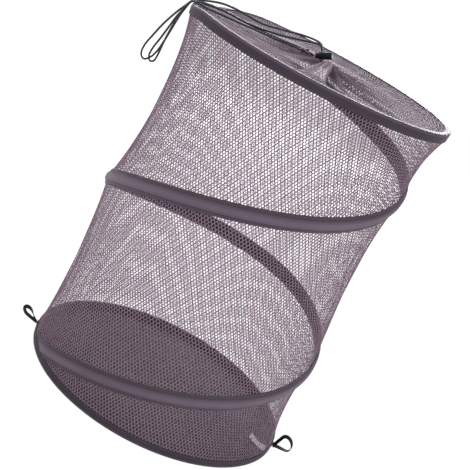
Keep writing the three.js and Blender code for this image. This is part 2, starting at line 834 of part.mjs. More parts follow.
addBinding("top_binding", topBindingLeg, topFlange, (z) => height - z);
addBinding("bottom_binding", baseBindingLeg, baseFlange, (z) => z);
addHoop("top", height - cornerInset);
addHoop("bottom", cornerInset);
addSpiral();
addWall();
addBasePanel();
addLid();
addHem();
addGatheredTurn();
addTail("rear", rearTail);
addTail("front", frontTail);
addLock();
addLoop("right", rightLoopAngle);
addLoop("left", leftLoopAngle);
addTag();

export default hamper;
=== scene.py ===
import json
import math

import bmesh
import bpy
import numpy as np
from mathutils import Matrix, Vector
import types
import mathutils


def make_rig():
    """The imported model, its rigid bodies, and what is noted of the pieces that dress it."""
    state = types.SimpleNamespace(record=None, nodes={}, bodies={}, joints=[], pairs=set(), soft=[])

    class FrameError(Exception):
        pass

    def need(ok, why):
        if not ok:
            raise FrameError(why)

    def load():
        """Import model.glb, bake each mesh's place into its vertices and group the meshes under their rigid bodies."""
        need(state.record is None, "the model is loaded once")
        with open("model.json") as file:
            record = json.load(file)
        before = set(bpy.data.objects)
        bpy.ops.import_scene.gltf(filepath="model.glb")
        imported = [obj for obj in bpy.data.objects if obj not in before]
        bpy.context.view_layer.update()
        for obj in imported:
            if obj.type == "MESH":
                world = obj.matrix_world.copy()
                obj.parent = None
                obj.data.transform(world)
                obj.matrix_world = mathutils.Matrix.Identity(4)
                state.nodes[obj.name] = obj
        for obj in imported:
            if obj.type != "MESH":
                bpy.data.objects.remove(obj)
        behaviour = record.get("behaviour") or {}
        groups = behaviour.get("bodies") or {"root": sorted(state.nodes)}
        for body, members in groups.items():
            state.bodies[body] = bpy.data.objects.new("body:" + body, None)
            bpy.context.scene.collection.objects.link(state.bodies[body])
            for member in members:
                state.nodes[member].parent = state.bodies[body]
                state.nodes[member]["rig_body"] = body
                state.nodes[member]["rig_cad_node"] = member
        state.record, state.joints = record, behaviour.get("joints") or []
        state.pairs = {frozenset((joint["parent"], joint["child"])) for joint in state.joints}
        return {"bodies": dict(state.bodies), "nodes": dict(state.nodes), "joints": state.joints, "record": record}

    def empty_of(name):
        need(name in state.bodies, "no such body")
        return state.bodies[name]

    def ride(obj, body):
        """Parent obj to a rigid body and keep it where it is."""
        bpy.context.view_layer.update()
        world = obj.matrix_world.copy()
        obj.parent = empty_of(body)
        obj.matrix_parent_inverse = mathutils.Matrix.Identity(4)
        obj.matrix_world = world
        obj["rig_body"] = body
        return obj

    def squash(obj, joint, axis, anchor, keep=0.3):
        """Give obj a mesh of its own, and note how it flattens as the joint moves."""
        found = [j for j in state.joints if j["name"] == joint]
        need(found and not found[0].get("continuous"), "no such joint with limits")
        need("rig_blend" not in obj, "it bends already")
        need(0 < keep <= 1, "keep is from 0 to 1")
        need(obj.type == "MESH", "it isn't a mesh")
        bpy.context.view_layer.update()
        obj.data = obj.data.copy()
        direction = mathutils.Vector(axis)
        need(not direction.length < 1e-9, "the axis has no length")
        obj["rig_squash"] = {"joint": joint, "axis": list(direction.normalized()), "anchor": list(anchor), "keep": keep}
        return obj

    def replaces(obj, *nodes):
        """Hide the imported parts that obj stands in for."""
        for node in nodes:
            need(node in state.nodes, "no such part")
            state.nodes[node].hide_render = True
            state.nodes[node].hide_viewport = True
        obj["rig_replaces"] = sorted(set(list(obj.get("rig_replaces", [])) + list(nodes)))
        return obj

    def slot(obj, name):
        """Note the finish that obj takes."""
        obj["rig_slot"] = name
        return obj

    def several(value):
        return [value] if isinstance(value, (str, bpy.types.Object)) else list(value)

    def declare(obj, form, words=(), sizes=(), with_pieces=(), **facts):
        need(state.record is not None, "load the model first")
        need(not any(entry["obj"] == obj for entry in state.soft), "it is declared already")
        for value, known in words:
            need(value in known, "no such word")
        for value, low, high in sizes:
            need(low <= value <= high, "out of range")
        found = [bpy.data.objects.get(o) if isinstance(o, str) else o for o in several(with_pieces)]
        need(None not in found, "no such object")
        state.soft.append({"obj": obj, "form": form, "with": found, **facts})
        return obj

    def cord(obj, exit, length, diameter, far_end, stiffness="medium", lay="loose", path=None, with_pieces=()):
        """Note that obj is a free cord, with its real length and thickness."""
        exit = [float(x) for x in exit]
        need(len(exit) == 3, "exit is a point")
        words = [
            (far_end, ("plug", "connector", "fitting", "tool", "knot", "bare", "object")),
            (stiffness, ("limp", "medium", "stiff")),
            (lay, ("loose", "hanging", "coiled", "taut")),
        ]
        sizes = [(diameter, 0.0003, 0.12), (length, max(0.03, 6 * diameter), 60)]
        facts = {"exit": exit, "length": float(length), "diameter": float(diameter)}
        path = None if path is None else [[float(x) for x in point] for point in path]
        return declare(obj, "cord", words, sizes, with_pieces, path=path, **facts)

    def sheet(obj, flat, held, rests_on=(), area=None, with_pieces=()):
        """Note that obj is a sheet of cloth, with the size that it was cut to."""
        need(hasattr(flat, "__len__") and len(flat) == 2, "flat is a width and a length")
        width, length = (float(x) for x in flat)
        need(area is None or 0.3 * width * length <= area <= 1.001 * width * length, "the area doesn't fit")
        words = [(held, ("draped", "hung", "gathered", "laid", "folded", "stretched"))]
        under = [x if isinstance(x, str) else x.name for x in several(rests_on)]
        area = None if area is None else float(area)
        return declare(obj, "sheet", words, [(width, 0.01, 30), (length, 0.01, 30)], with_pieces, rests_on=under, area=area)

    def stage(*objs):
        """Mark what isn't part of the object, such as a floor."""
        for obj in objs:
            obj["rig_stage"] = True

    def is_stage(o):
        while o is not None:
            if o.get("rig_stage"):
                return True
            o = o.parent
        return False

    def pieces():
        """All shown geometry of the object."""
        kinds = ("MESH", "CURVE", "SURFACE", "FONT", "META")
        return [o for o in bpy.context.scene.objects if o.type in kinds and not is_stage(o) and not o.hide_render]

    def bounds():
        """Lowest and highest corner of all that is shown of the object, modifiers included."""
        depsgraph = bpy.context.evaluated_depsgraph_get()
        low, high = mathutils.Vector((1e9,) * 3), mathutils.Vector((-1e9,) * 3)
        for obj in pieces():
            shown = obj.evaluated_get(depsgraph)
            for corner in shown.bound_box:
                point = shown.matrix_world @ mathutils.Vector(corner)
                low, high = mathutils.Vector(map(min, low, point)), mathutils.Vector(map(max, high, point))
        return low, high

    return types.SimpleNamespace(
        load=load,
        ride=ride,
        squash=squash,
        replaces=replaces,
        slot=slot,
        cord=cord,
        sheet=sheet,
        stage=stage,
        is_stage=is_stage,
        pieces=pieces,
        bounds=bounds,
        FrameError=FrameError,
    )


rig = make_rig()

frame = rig.load()
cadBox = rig.bounds()
scene = bpy.context.scene
weldDistance = 1e-6  # closes the seams of swept pieces


# Helpers: meshes made flat, then laid on a surface

def meshPoints(mesh):
    flat = np.empty(len(mesh.vertices) * 3)
    mesh.vertices.foreach_get("co", flat)
    return flat.reshape(-1, 3)


def setPoints(mesh, points):
    mesh.vertices.foreach_set("co", np.ascontiguousarray(points, dtype=np.float32).ravel())
    mesh.update()


def smoothStep(value, start, end):
    t = np.clip((value - start) / (end - start), 0, 1)
    return t * t * (3 - 2 * t)


# cloth coordinates in metres, kept through every later step as a UV map
def setCloth(mesh, u, v, name="cloth"):
    layer = mesh.uv_layers.new(name=name)
    index = np.empty(len(mesh.loops), dtype=np.int32)
    mesh.loops.foreach_get("vertex_index", index)
    layer.data.foreach_set("uv", np.column_stack([u[index], v[index]]).ravel().astype(np.float32))


def newObject(name, mesh, material=None, smooth=True):
    obj = bpy.data.objects.new(name, mesh)
    scene.collection.objects.link(obj)
    if material:
        mesh.materials.append(material)
    if smooth:
        mesh.polygons.foreach_set("use_smooth", np.ones(len(mesh.polygons), dtype=bool))
    return obj


def meshFrom(bm, name):
    mesh = bpy.data.meshes.new(name)
    bm.to_mesh(mesh)
    bm.free()
    return mesh


def tidyMesh(mesh, weld=0.0, fill=False):
    bm = bmesh.new()
    bm.from_mesh(mesh)
    if weld:
        bmesh.ops.remove_doubles(bm, verts=bm.verts, dist=weld)
    if fill:
        edges = [e for e in bm.edges if e.is_boundary]
        bmesh.ops.holes_fill(bm, edges=edges, sides=0)
    bmesh.ops.recalc_face_normals(bm, faces=bm.faces)
    bm.to_mesh(mesh)
    bm.free()


def thicken(obj, name, thickness, offset=-1):
    thick = obj.modifiers.new(name, "SOLIDIFY")
    thick.thickness = thickness
    thick.offset = offset


# a grid of along by across faces; place(u, v) gets both as shares from 0 to 1
def gridPiece(name, along, across, place, size, material, weld=0.0, fill=False):
    bm = bmesh.new()
    bmesh.ops.create_grid(bm, x_segments=along, y_segments=across, size=0.5)
    mesh = meshFrom(bm, name)
    points = meshPoints(mesh)
    u, v = points[:, 0] + 0.5, points[:, 1] + 0.5
    setCloth(mesh, u * size[0], v * size[1])
    setCloth(mesh, u, v, "section")
    setPoints(mesh, place(u, v))
    tidyMesh(mesh, weld, fill)
    return newObject(name, mesh, material)


# a closed outline swept along: outline holds (outwards, upwards) points
def sweptPiece(name, along, outline, place, length, material, closed=False):
    outline = np.array(outline + outline[:1])
    steps = np.linspace(0, 1, len(outline))
    around = np.hypot(*np.diff(outline, axis=0).T).sum()

    def onSection(u, v):
        outwards = np.interp(v, steps, outline[:, 0])
        upwards = np.interp(v, steps, outline[:, 1])
        return place(u, outwards, upwards)

    return gridPiece(
        name, along, len(outline) - 1, onSection, (length, around), material, weld=weldDistance, fill=not closed
    )


# centripetal curve through the points, fine steps to each stretch, then evenly spaced
def smoothPath(points, count, fine=16):
    p = np.array(points, dtype=float)
    p = np.vstack([2 * p[0] - p[1], p, 2 * p[-1] - p[-2]])
    knots = np.concatenate([[0], np.cumsum(np.linalg.norm(np.diff(p, axis=0), axis=1) ** 0.5)])
    out = []
    for i in range(1, len(p) - 2):
        t0, t1, t2, t3 = knots[i - 1:i + 3]
        t = np.linspace(t1, t2, fine, endpoint=False)[:, None]
        a1 = (t1 - t) / (t1 - t0) * p[i - 1] + (t - t0) / (t1 - t0) * p[i]
        a2 = (t2 - t) / (t2 - t1) * p[i] + (t - t1) / (t2 - t1) * p[i + 1]
        a3 = (t3 - t) / (t3 - t2) * p[i + 1] + (t - t2) / (t3 - t2) * p[i + 2]
        b1 = (t2 - t) / (t2 - t0) * a1 + (t - t0) / (t2 - t0) * a2
        b2 = (t3 - t) / (t3 - t1) * a2 + (t - t1) / (t3 - t1) * a3
        out.append((t2 - t) / (t2 - t1) * b1 + (t - t1) / (t2 - t1) * b2)
    path = np.vstack(out + [p[-2:-1]])
    run = np.concatenate([[0], np.cumsum(np.linalg.norm(np.diff(path, axis=0), axis=1))])
    even = np.linspace(0, run[-1], count + 1)
    return np.column_stack([np.interp(even, run, path[:, k]) for k in range(3)]), run[-1]


# two directions square to the path at each point, turning as little as they can
def pathFrames(path, firstSide=(0.3, 0.9, 0.2)):
    tangents = np.gradient(path, axis=0)
    tangents /= np.linalg.norm(tangents, axis=1)[:, None]
    side = np.cross(tangents[0], firstSide)
    side /= np.linalg.norm(side)
    sides = []
    for tangent in tangents:
        side = side - tangent * side.dot(tangent)
        side /= np.linalg.norm(side)
        sides.append(side)
    sides = np.array(sides)
    return tangents, sides, np.cross(tangents, sides)


def tubePiece(name, points, radius, steps, sides, material, ends=0.85):
    path, length = smoothPath(points, steps)
    tangents, across, up = pathFrames(path)

    def place(u, v):
        i = np.rint(u * steps).astype(int)
        angle = v * math.tau
        close = np.minimum(i, steps - i)
        r = radius * np.where(close == 0, ends, 1.0)
        return path[i] + (across[i] * np.cos(angle)[:, None] + up[i] * np.sin(angle)[:, None]) * r[:, None]

    size = (length, math.tau * radius)
    obj = gridPiece(name, steps, sides, place, size, material, weld=weldDistance, fill=True)
    return obj, path, length


# the mesh repeated once for each (count, step), and joined where the copies meet
def repeatMesh(mesh, name, repeats, merge=0.0):
    maker = bpy.data.objects.new(name + "_maker", mesh)
    scene.collection.objects.link(maker)
    for count, step in repeats:
        rows = maker.modifiers.new("rows", "ARRAY")
        rows.count = count
        rows.use_relative_offset = False
        rows.use_constant_offset = True
        rows.constant_offset_displace = step
        if merge:
            rows.use_merge_vertices = True
            rows.merge_threshold = merge
    made = bpy.data.meshes.new_from_object(maker.evaluated_get(bpy.context.evaluated_depsgraph_get()))
    bpy.data.objects.remove(maker)
    made.name = name
    points = meshPoints(made)
    setCloth(made, points[:, 0], points[:, 1])
    return made, points


# Camera

camera = {
    "spot": (0.0, -1.42839, 0.70292), "yaw": 0.0794, "pitch": -17.44, "roll": 27.938, "lens": 82.58,
    "sensor": 36, "near": 0.02, "far": 60,
}


def makeCamera():
    data = bpy.data.cameras.new("camera")
    data.sensor_width = camera["sensor"]
    data.lens = camera["lens"]
    data.clip_start = camera["near"]
    data.clip_end = camera["far"]
    obj = bpy.data.objects.new("camera", data)
    scene.collection.objects.link(obj)
    yaw, pitch, roll = (math.radians(camera[k]) for k in ("yaw", "pitch", "roll"))
    forward = Vector((math.sin(yaw) * math.cos(pitch), math.cos(yaw) * math.cos(pitch), math.sin(pitch)))
    right = Vector((math.cos(yaw), -math.sin(yaw), 0))
    up = right.cross(forward)
    turnedRight = right * math.cos(roll) + up * math.sin(roll)
    turnedUp = up * math.cos(roll) - right * math.sin(roll)
    turn = Matrix((turnedRight, turnedUp, -forward)).transposed().to_4x4()
    obj.matrix_world = Matrix.Translation(camera["spot"]) @ turn
    scene.camera = obj


makeCamera()


# Materials

clothSheen = {"roughness": 0.45, "tint": (0.82, 0.68, 0.84, 1)}


def newMaterial(name, roughness, sheen=0.0, specular=0.3, metallic=0.0):
    material = bpy.data.materials.new(name)
    material.use_nodes = True
    shader = material.node_tree.nodes["Principled BSDF"]
    settings = {
        "Roughness": roughness, "Specular IOR Level": specular, "Metallic": metallic, "Sheen Weight": sheen,
        "Sheen Roughness": clothSheen["roughness"], "Sheen Tint": clothSheen["tint"],
    }
    for key, value in settings.items():
        shader.inputs[key].default_value = value
    return material, material.node_tree.nodes, shader


def addNode(nodes, kind, **settings):
    node = nodes.new("ShaderNode" + kind)
    for key, value in settings.items():
        if key in node.inputs:
            node.inputs[key].default_value = value
        else:
            setattr(node, key, value)
    return node


def join(source, target):
    source.id_data.links.new(source, target)


# second is a socket or a number
def combine(nodes, operation, first, second):
    node = addNode(nodes, "Math", operation=operation)
    join(first, node.inputs[0])
    if isinstance(second, bpy.types.NodeSocket):
        join(second, node.inputs[1])
    else:
        node.inputs[1].default_value = second
    return node.outputs[0]


# the surface mixes shader with other; gives the socket for the share of other
def mixSurface(nodes, shader, other):
    mix = addNode(nodes, "MixShader")
    join(shader.outputs["BSDF"], mix.inputs[1])
    join(other, mix.inputs[2])
    join(mix.outputs["Shader"], nodes["Material Output"].inputs["Surface"])
    return mix.inputs["Fac"]


def setRamp(ramp, positions, tones):
    for element, position, tone in zip(ramp.color_ramp.elements, positions, tones):
        element.position = position
        element.color = (*tone, 1)


# mottled colour between two tones, driven by noise in object space
def mottle(nodes, shader, tones, scale):
    coords = addNode(nodes, "TexCoord")
    noise = addNode(nodes, "TexNoise", Scale=scale, Detail=4.0, Roughness=0.6)
    ramp = addNode(nodes, "ValToRGB")
    setRamp(ramp, (0.3, 0.7), tones)
    join(coords.outputs["Object"], noise.inputs["Vector"])
    join(noise.outputs["Fac"], ramp.inputs["Fac"])
    join(ramp.outputs["Color"], shader.inputs["Base Color"])
    return ramp


# one thread up and one down make a wave, so its bands repeat every two pitches
def waveScale(pitch):
    return math.pi / (20 * pitch)


# warp and weft ridges at a real thread pitch, from the cloth map
def weave(nodes, pitches, directions=("X", "Y")):
    cloth = addNode(nodes, "UVMap", uv_map="cloth")
    waves = []
    for pitch, direction in zip(pitches, directions):
        wave = addNode(
            nodes, "TexWave", wave_type="BANDS", bands_direction=direction,
            Scale=waveScale(pitch), Distortion=0.6, Detail=1.0,
        )
        wave.inputs["Detail Scale"].default_value = 1 / pitch
        join(cloth.outputs["UV"], wave.inputs["Vector"])
        waves.append(wave.outputs["Fac"])
    return combine(nodes, "MULTIPLY", *waves)


def bump(nodes, shader, height, strength, distance):
    node = addNode(nodes, "Bump", Strength=strength, Distance=distance)
    join(height, node.inputs["Height"])
    join(node.outputs["Normal"], shader.inputs["Normal"])


# painted shade and painted light in bands across a piece, read from its section map: stops hold (share of the section,
# how much lighter or darker, up to top)
def paintedShadeBands(nodes, shader, ramp, stops, top=2):
    section = addNode(nodes, "UVMap", uv_map="section")
    apart = addNode(nodes, "SeparateXYZ")
    bands = addNode(nodes, "FloatCurve")
    curve = bands.mapping.curves[0]
    curve.points[0].location = (0, stops[0][1] / top)
    curve.points[1].location = (1, stops[-1][1] / top)
    for share, level in stops[1:-1]:
        curve.points.new(share, level / top)
    for point in curve.points:
        point.handle_type = "VECTOR"
    bands.mapping.update()
    striped = addNode(nodes, "VectorMath", operation="SCALE")
    join(section.outputs["UV"], apart.inputs["Vector"])
    join(apart.outputs["Y"], bands.inputs["Value"])
    join(ramp.outputs["Color"], striped.inputs[0])
    join(combine(nodes, "MULTIPLY", bands.outputs["Value"], top), striped.inputs["Scale"])
    join(striped.outputs["Vector"], shader.inputs["Base Color"])


# share of the light goes through the yarn, in the tone of glow
def netMaterial(name, tones, glow, share, stops=None, sheen=0.15):
    material, nodes, shader = newMaterial(name, roughness=0.75, sheen=sheen, specular=0.08)
    ramp = mottle(nodes, shader, tones, scale=14.0)
    # stops paint shade and light in bands across the section
    if stops:
        paintedShadeBands(nodes, shader, ramp, stops)
    cloth = addNode(nodes, "UVMap", uv_map="cloth")
    yarn = addNode(nodes, "TexNoise", Scale=2600.0, Detail=2.0)
    join(cloth.outputs["UV"], yarn.inputs["Vector"])
    bump(nodes, shader, yarn.outputs["Fac"], strength=0.5, distance=0.0002)
    through = addNode(nodes, "BsdfTranslucent")
    through.inputs["Color"].default_value = (*glow, 1)
    mixSurface(nodes, shader, through.outputs["BSDF"]).default_value = share
    return material


# weft: the weft's pitch as a share of the warp's
def tapeMaterial(name, tones, pitch=0.00055, weft=1.4, stops=None, sheen=0.1, relief=0.45):
    material, nodes, shader = newMaterial(name, roughness=0.62, sheen=sheen, specular=sheen * 2)
    ramp = mottle(nodes, shader, tones, scale=9.0)
    # stops paint shade and light in bands across the section
    if stops:
        paintedShadeBands(nodes, shader, ramp, stops)
    threads = weave(nodes, (pitch, pitch * weft))
    bump(nodes, shader, threads, strength=relief, distance=0.0003)
    return material


# two sets of strands cross at lay, in radians, to either side
def cordMaterial(name, tones, pitch=0.0018, lay=0.6):
    material, nodes, shader = newMaterial(name, roughness=0.5, sheen=0.06, specular=0.3)
    cloth = addNode(nodes, "UVMap", uv_map="cloth")
    waves = []
    for turn in (lay, -lay):
        mapping = addNode(nodes, "Mapping")
        mapping.inputs["Rotation"].default_value = (0, 0, turn)
        wave = addNode(nodes, "TexWave", wave_type="BANDS", bands_direction="X", Scale=waveScale(pitch))
        join(cloth.outputs["UV"], mapping.inputs["Vector"])
        join(mapping.outputs["Vector"], wave.inputs["Vector"])
        waves.append(wave.outputs["Fac"])
    braid = combine(nodes, "MAXIMUM", *waves)
    # the ramp paints the braid's crests in the lighter tone, as painted highlight, and the hollows between strands in
    # the darker, as painted shade
    ramp = addNode(nodes, "ValToRGB")
    setRamp(ramp, (0.35, 0.95), tones)
    join(braid, ramp.inputs["Fac"])
    join(ramp.outputs["Color"], shader.inputs["Base Color"])
    bump(nodes, shader, braid, strength=0.6, distance=0.0004)
    return material


def elasticMaterial(name, tones, pitch=0.0009):
    material, nodes, shader = newMaterial(name, roughness=0.7, sheen=0.04, specular=0.15)
    mottle(nodes, shader, tones, scale=60.0)
    ribs = weave(nodes, (pitch, pitch), ("Y", "Y"))
    bump(nodes, shader, ribs, strength=0.5, distance=0.0004)
    return material


def plasticMaterial(name, tones):
    material, nodes, shader = newMaterial(name, roughness=0.55, specular=0.1)
    mottle(nodes, shader, tones, scale=90.0)
    coords = addNode(nodes, "TexCoord")
    grain = addNode(nodes, "TexNoise", Scale=900.0, Detail=3.0)
    join(coords.outputs["Object"], grain.inputs["Vector"])
    bump(nodes, shader, grain.outputs["Fac"], strength=0.12, distance=0.0002)
    return material


def steelMaterial(name, tones):
    material, nodes, shader = newMaterial(name, roughness=0.32, specular=0.5, metallic=1.0)
    mottle(nodes, shader, tones, scale=120.0)
    return material


netCloth = netMaterial("net_cloth", ((0.165, 0.113, 0.149), (0.2, 0.142, 0.184)), glow=(0.78, 0.66, 0.76), share=0.34)
# the lid's net: a copy of the wall's net in a little lighter tones, whose stops paint shade in the folds' pockets and
# paint light on their crests, from the section map that makeLid fills
lidCloth = netMaterial(
    "lid_cloth", ((0.180, 0.130, 0.170), (0.215, 0.160, 0.205)), glow=(0.60, 0.50, 0.60), share=0.18,
    stops=[(0, 0.3), (0.2, 0.4), (0.42, 0.95), (0.6, 1.1), (0.85, 1.9), (1, 2)], sheen=0.08,
)
# on the top binding these stops paint light on the flange's top face and the outer face's upper edge, and paint shade
# lower down the outer face, darkest at the leg's lower edge; the bottom binding and the lid's hem take the same bands
edgeTape = tapeMaterial(
    "edge_tape", ((0.052, 0.038, 0.055), (0.068, 0.051, 0.072)),
    stops=[
        (0, 1.2), (0.02, 1.8), (0.17, 1.8), (0.2, 1.1), (0.7, 1), (0.76, 0.5), (0.79, 0.8), (0.86, 0.75),
        (0.89, 0.9), (0.93, 1.5), (1, 1.6),
    ],
    sheen=0.05,
)
# these stops paint light on the casing's crown, with three thin darker lines along it, and paint shade along both
# edges, darkest in the two stitch grooves
spiralTape = tapeMaterial(
    "spiral_tape", ((0.068, 0.049, 0.070), (0.087, 0.065, 0.090)),
    stops=[
        (0, 0.6), (0.07, 0.6), (0.1, 0.95), (0.19, 0.9), (0.218, 0.4), (0.246, 0.9), (0.285, 1.3), (0.355, 1.6),
        (0.375, 1.1), (0.395, 1.7), (0.465, 1.7), (0.483, 1.2), (0.501, 1.7), (0.57, 1.6), (0.59, 1.0), (0.61, 1.4),
        (0.67, 1.1), (0.72, 0.75), (0.749, 0.35), (0.778, 0.75), (0.87, 0.75), (0.9, 0.5), (1, 0.5),
    ],
)
threadCloth = tapeMaterial("seam_thread", ((0.12, 0.095, 0.118), (0.15, 0.12, 0.148)), pitch=0.0004)
baseCloth = tapeMaterial(
    "base_cloth", ((0.020, 0.012, 0.017), (0.029, 0.019, 0.026)), pitch=0.0007, sheen=0.01, relief=0.15,
)
# drawcord tones: the darker is painted shade in the braid's hollows, the lighter painted highlight on its crests
cordCloth = cordMaterial("drawcord", ((0.004, 0.004, 0.006), (0.036, 0.039, 0.052)))
elasticCloth = elasticMaterial("elastic_tape", ((0.005, 0.005, 0.006), (0.013, 0.013, 0.016)))
lockPlastic = plasticMaterial("lock_plastic", ((0.006, 0.006, 0.008), (0.014, 0.014, 0.017)))
tagCloth = tapeMaterial("tag_cloth", ((0.72, 0.70, 0.74), (0.80, 0.78, 0.82)), pitch=0.0003)
springSteel = steelMaterial("spring_steel", ((0.42, 0.43, 0.45), (0.55, 0.56, 0.58)))


# Drawstring: route points as in the part, in metres

drawstring = {
    "radius": 0.0014, "steps": 420, "sides": 14,
    "rear": [
        (-0.0104, 0.0016, 0.5338), (-0.012, 0.0016, 0.5371), (-0.0144, 0.0025, 0.54), (-0.02, 0.0055, 0.5414),
        (-0.03, 0.008, 0.5408), (-0.047, 0.01, 0.538), (-0.074, 0.012, 0.5317), (-0.095, 0.012, 0.5275),
        (-0.118, 0.011, 0.5276), (-0.14, 0.0105, 0.528), (-0.157, 0.0096, 0.526), (-0.17, 0.009, 0.5222),
        (-0.181, 0.0087, 0.518), (-0.19, 0.0084, 0.5144), (-0.195, 0.0081, 0.5086), (-0.1986, 0.008, 0.502),
        (-0.205, 0.008, 0.49), (-0.215, 0.007, 0.466), (-0.221, 0.006, 0.446), (-0.225, 0.004, 0.43),
        (-0.224, 0.002, 0.418), (-0.218, 0.0, 0.4135), (-0.211, -0.001, 0.419), (-0.206, -0.001, 0.43),
        (-0.203, 0.0, 0.448), (-0.201, 0.001, 0.468), (-0.199, 0.002, 0.488), (-0.1966, 0.0026, 0.5),
        (-0.1944, 0.0027, 0.5084), (-0.1904, 0.0025, 0.514), (-0.1825, 0.002, 0.516), (-0.171, 0.0012, 0.5178),
        (-0.158, 0.0025, 0.5194), (-0.14, 0.003, 0.5204), (-0.118, 0.003, 0.5198), (-0.096, 0.003, 0.5196),
        (-0.075, 0.0025, 0.5208), (-0.056, 0.002, 0.5223), (-0.042, 0.003, 0.5236), (-0.031, 0.0045, 0.5238),
    ],
    "front": [
        (-0.0104, -0.0016, 0.5338), (-0.012, -0.0016, 0.5371), (-0.0143, -0.0021, 0.5392), (-0.0185, -0.003, 0.5398),
        (-0.027, -0.004, 0.538), (-0.043, -0.005, 0.5335), (-0.062, -0.005, 0.5285), (-0.082, -0.005, 0.5246),
        (-0.101, -0.005, 0.5218), (-0.12, -0.005, 0.5205), (-0.14, -0.005, 0.5208), (-0.156, -0.005, 0.5198),
        (-0.17, -0.005, 0.5178), (-0.182, -0.0054, 0.5156), (-0.1908, -0.0059, 0.514), (-0.1944, -0.0062, 0.5076),
        (-0.1966, -0.0065, 0.5), (-0.2005, -0.007, 0.488), (-0.2045, -0.007, 0.468), (-0.208, -0.007, 0.45),
        (-0.2115, -0.008, 0.434), (-0.2115, -0.009, 0.422), (-0.207, -0.01, 0.417), (-0.2025, -0.011, 0.42),
        (-0.201, -0.012, 0.432), (-0.201, -0.013, 0.45), (-0.2, -0.013, 0.47), (-0.198, -0.013, 0.49),
        (-0.196, -0.013, 0.5), (-0.194, -0.013, 0.5076), (-0.1902, -0.013, 0.5134), (-0.1825, -0.0133, 0.5148),
        (-0.171, -0.0143, 0.5144), (-0.155, -0.017, 0.5158), (-0.136, -0.02, 0.5174), (-0.112, -0.022, 0.5192),
        (-0.088, -0.022, 0.521), (-0.066, -0.02, 0.5222), (-0.049, -0.016, 0.5234), (-0.036, -0.011, 0.524),
    ],
}
pulledKnot = {
    "beyond": 0.0034, "size": 0.00092, "points": 49, "tube": (0.00115, 96, 10),  # radius, steps, sides
    "stub": ((0.001, 0), (0.006, 0.0006), (0.0105, 0.0016)),  # how far beyond the knot, and how far it droops
    "stubTube": (drawstring["radius"] * 0.98, 14, 12), "stubEnds": 0.6,
}
gather = {
    "radius": 0.006, "height": 0.5176, "hem": 0.0022, "spread": 0.0016, "bend": math.radians(46),
    "points": 19, "steps": 200, "sides": 12,
    "entry": (0.0004, 0.0019, 0.5198),  # inwards of the mouth's edge, to the side, up
}
lock = {
    "tilt": math.radians(26), "across": -0.0075, "height": 0.5279, "radius": 0.0053, "above": 0.001, "below": 0.0012,
}


# an overhand knot pulled tight, and the cord's short end beyond it
def makeKnot(name, path):
    away = path[-1] - path[-4]
    away /= np.linalg.norm(away)
    t = np.linspace(0, math.tau, pulledKnot["points"])
    loop = np.column_stack([np.sin(t) + 2 * np.sin(2 * t), np.cos(t) - 2 * np.cos(2 * t), -np.sin(3 * t)])
    turn = Vector(away).to_track_quat("Z", "Y").to_matrix()
    middle = path[-1] + away * pulledKnot["beyond"]
    points = loop * pulledKnot["size"] @ np.array(turn).T + middle
    knot, _, _ = tubePiece(name, points, *pulledKnot["tube"], cordCloth)
    stub = [middle + away * along + np.array([0, 0, -drop]) for along, drop in pulledKnot["stub"]]
    end, _, _ = tubePiece(name + "_end", stub, *pulledKnot["stubTube"], cordCloth, ends=pulledKnot["stubEnds"])
    return knot, end


def makeDrawstring():
    for name in ("rear", "front"):
        route = drawstring[name]
        tail, path, length = tubePiece(
            "cord_" + name, route, drawstring["radius"], drawstring["steps"], drawstring["sides"], cordCloth, ends=1.0
        )
        knot, end = makeKnot("cord_" + name + "_knot", path)
        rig.replaces(tail, f"drawstring_{name}_tail")
        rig.replaces(knot, f"drawstring_{name}_knot")
        for piece in (tail, knot, end):
            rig.ride(piece, "top")
            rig.slot(piece, "drawstring_cord")
        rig.cord(
            tail, exit=route[0], length=round(length, 4), diameter=drawstring["radius"] * 2, far_end="knot",
            stiffness="limp", lay="loose", path=path, with_pieces=[knot, end],
        )
        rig.squash(tail, "collapse", (0, 0, 1), (0, 0, 0.52), keep=0.25)
        print("drawstring", name, "length", round(length, 4))

    # down through the lock, round inside the hem and up again
    through = [lock["radius"] + lock["above"], 0, -lock["radius"], -lock["radius"] - lock["below"]]
    lean, rise = math.sin(lock["tilt"]), math.cos(lock["tilt"])
    down = [(lock["across"] - up * lean, gather["spread"], lock["height"] + up * rise) for up in through]
    inwards, aside, level = gather["entry"]
    down.append((inwards - gather["radius"], aside, level))
    turn = np.linspace(math.pi - gather["bend"], gather["bend"] - math.pi, gather["points"])
    ringPart = [(gather["radius"] * math.cos(a), gather["radius"] * math.sin(a), gather["height"]) for a in turn]
    up = [(x, -y, z) for x, y, z in reversed(down)]
    inside, _, _ = tubePiece(
        "cord_gathered", down + ringPart + up, drawstring["radius"], gather["steps"], gather["sides"], cordCloth,
        ends=1.0,
    )
    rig.replaces(inside, "drawstring_gathered_turn")
    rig.ride(inside, "top")
    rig.slot(inside, "drawstring_cord")


makeDrawstring()


# The sleeve's shape

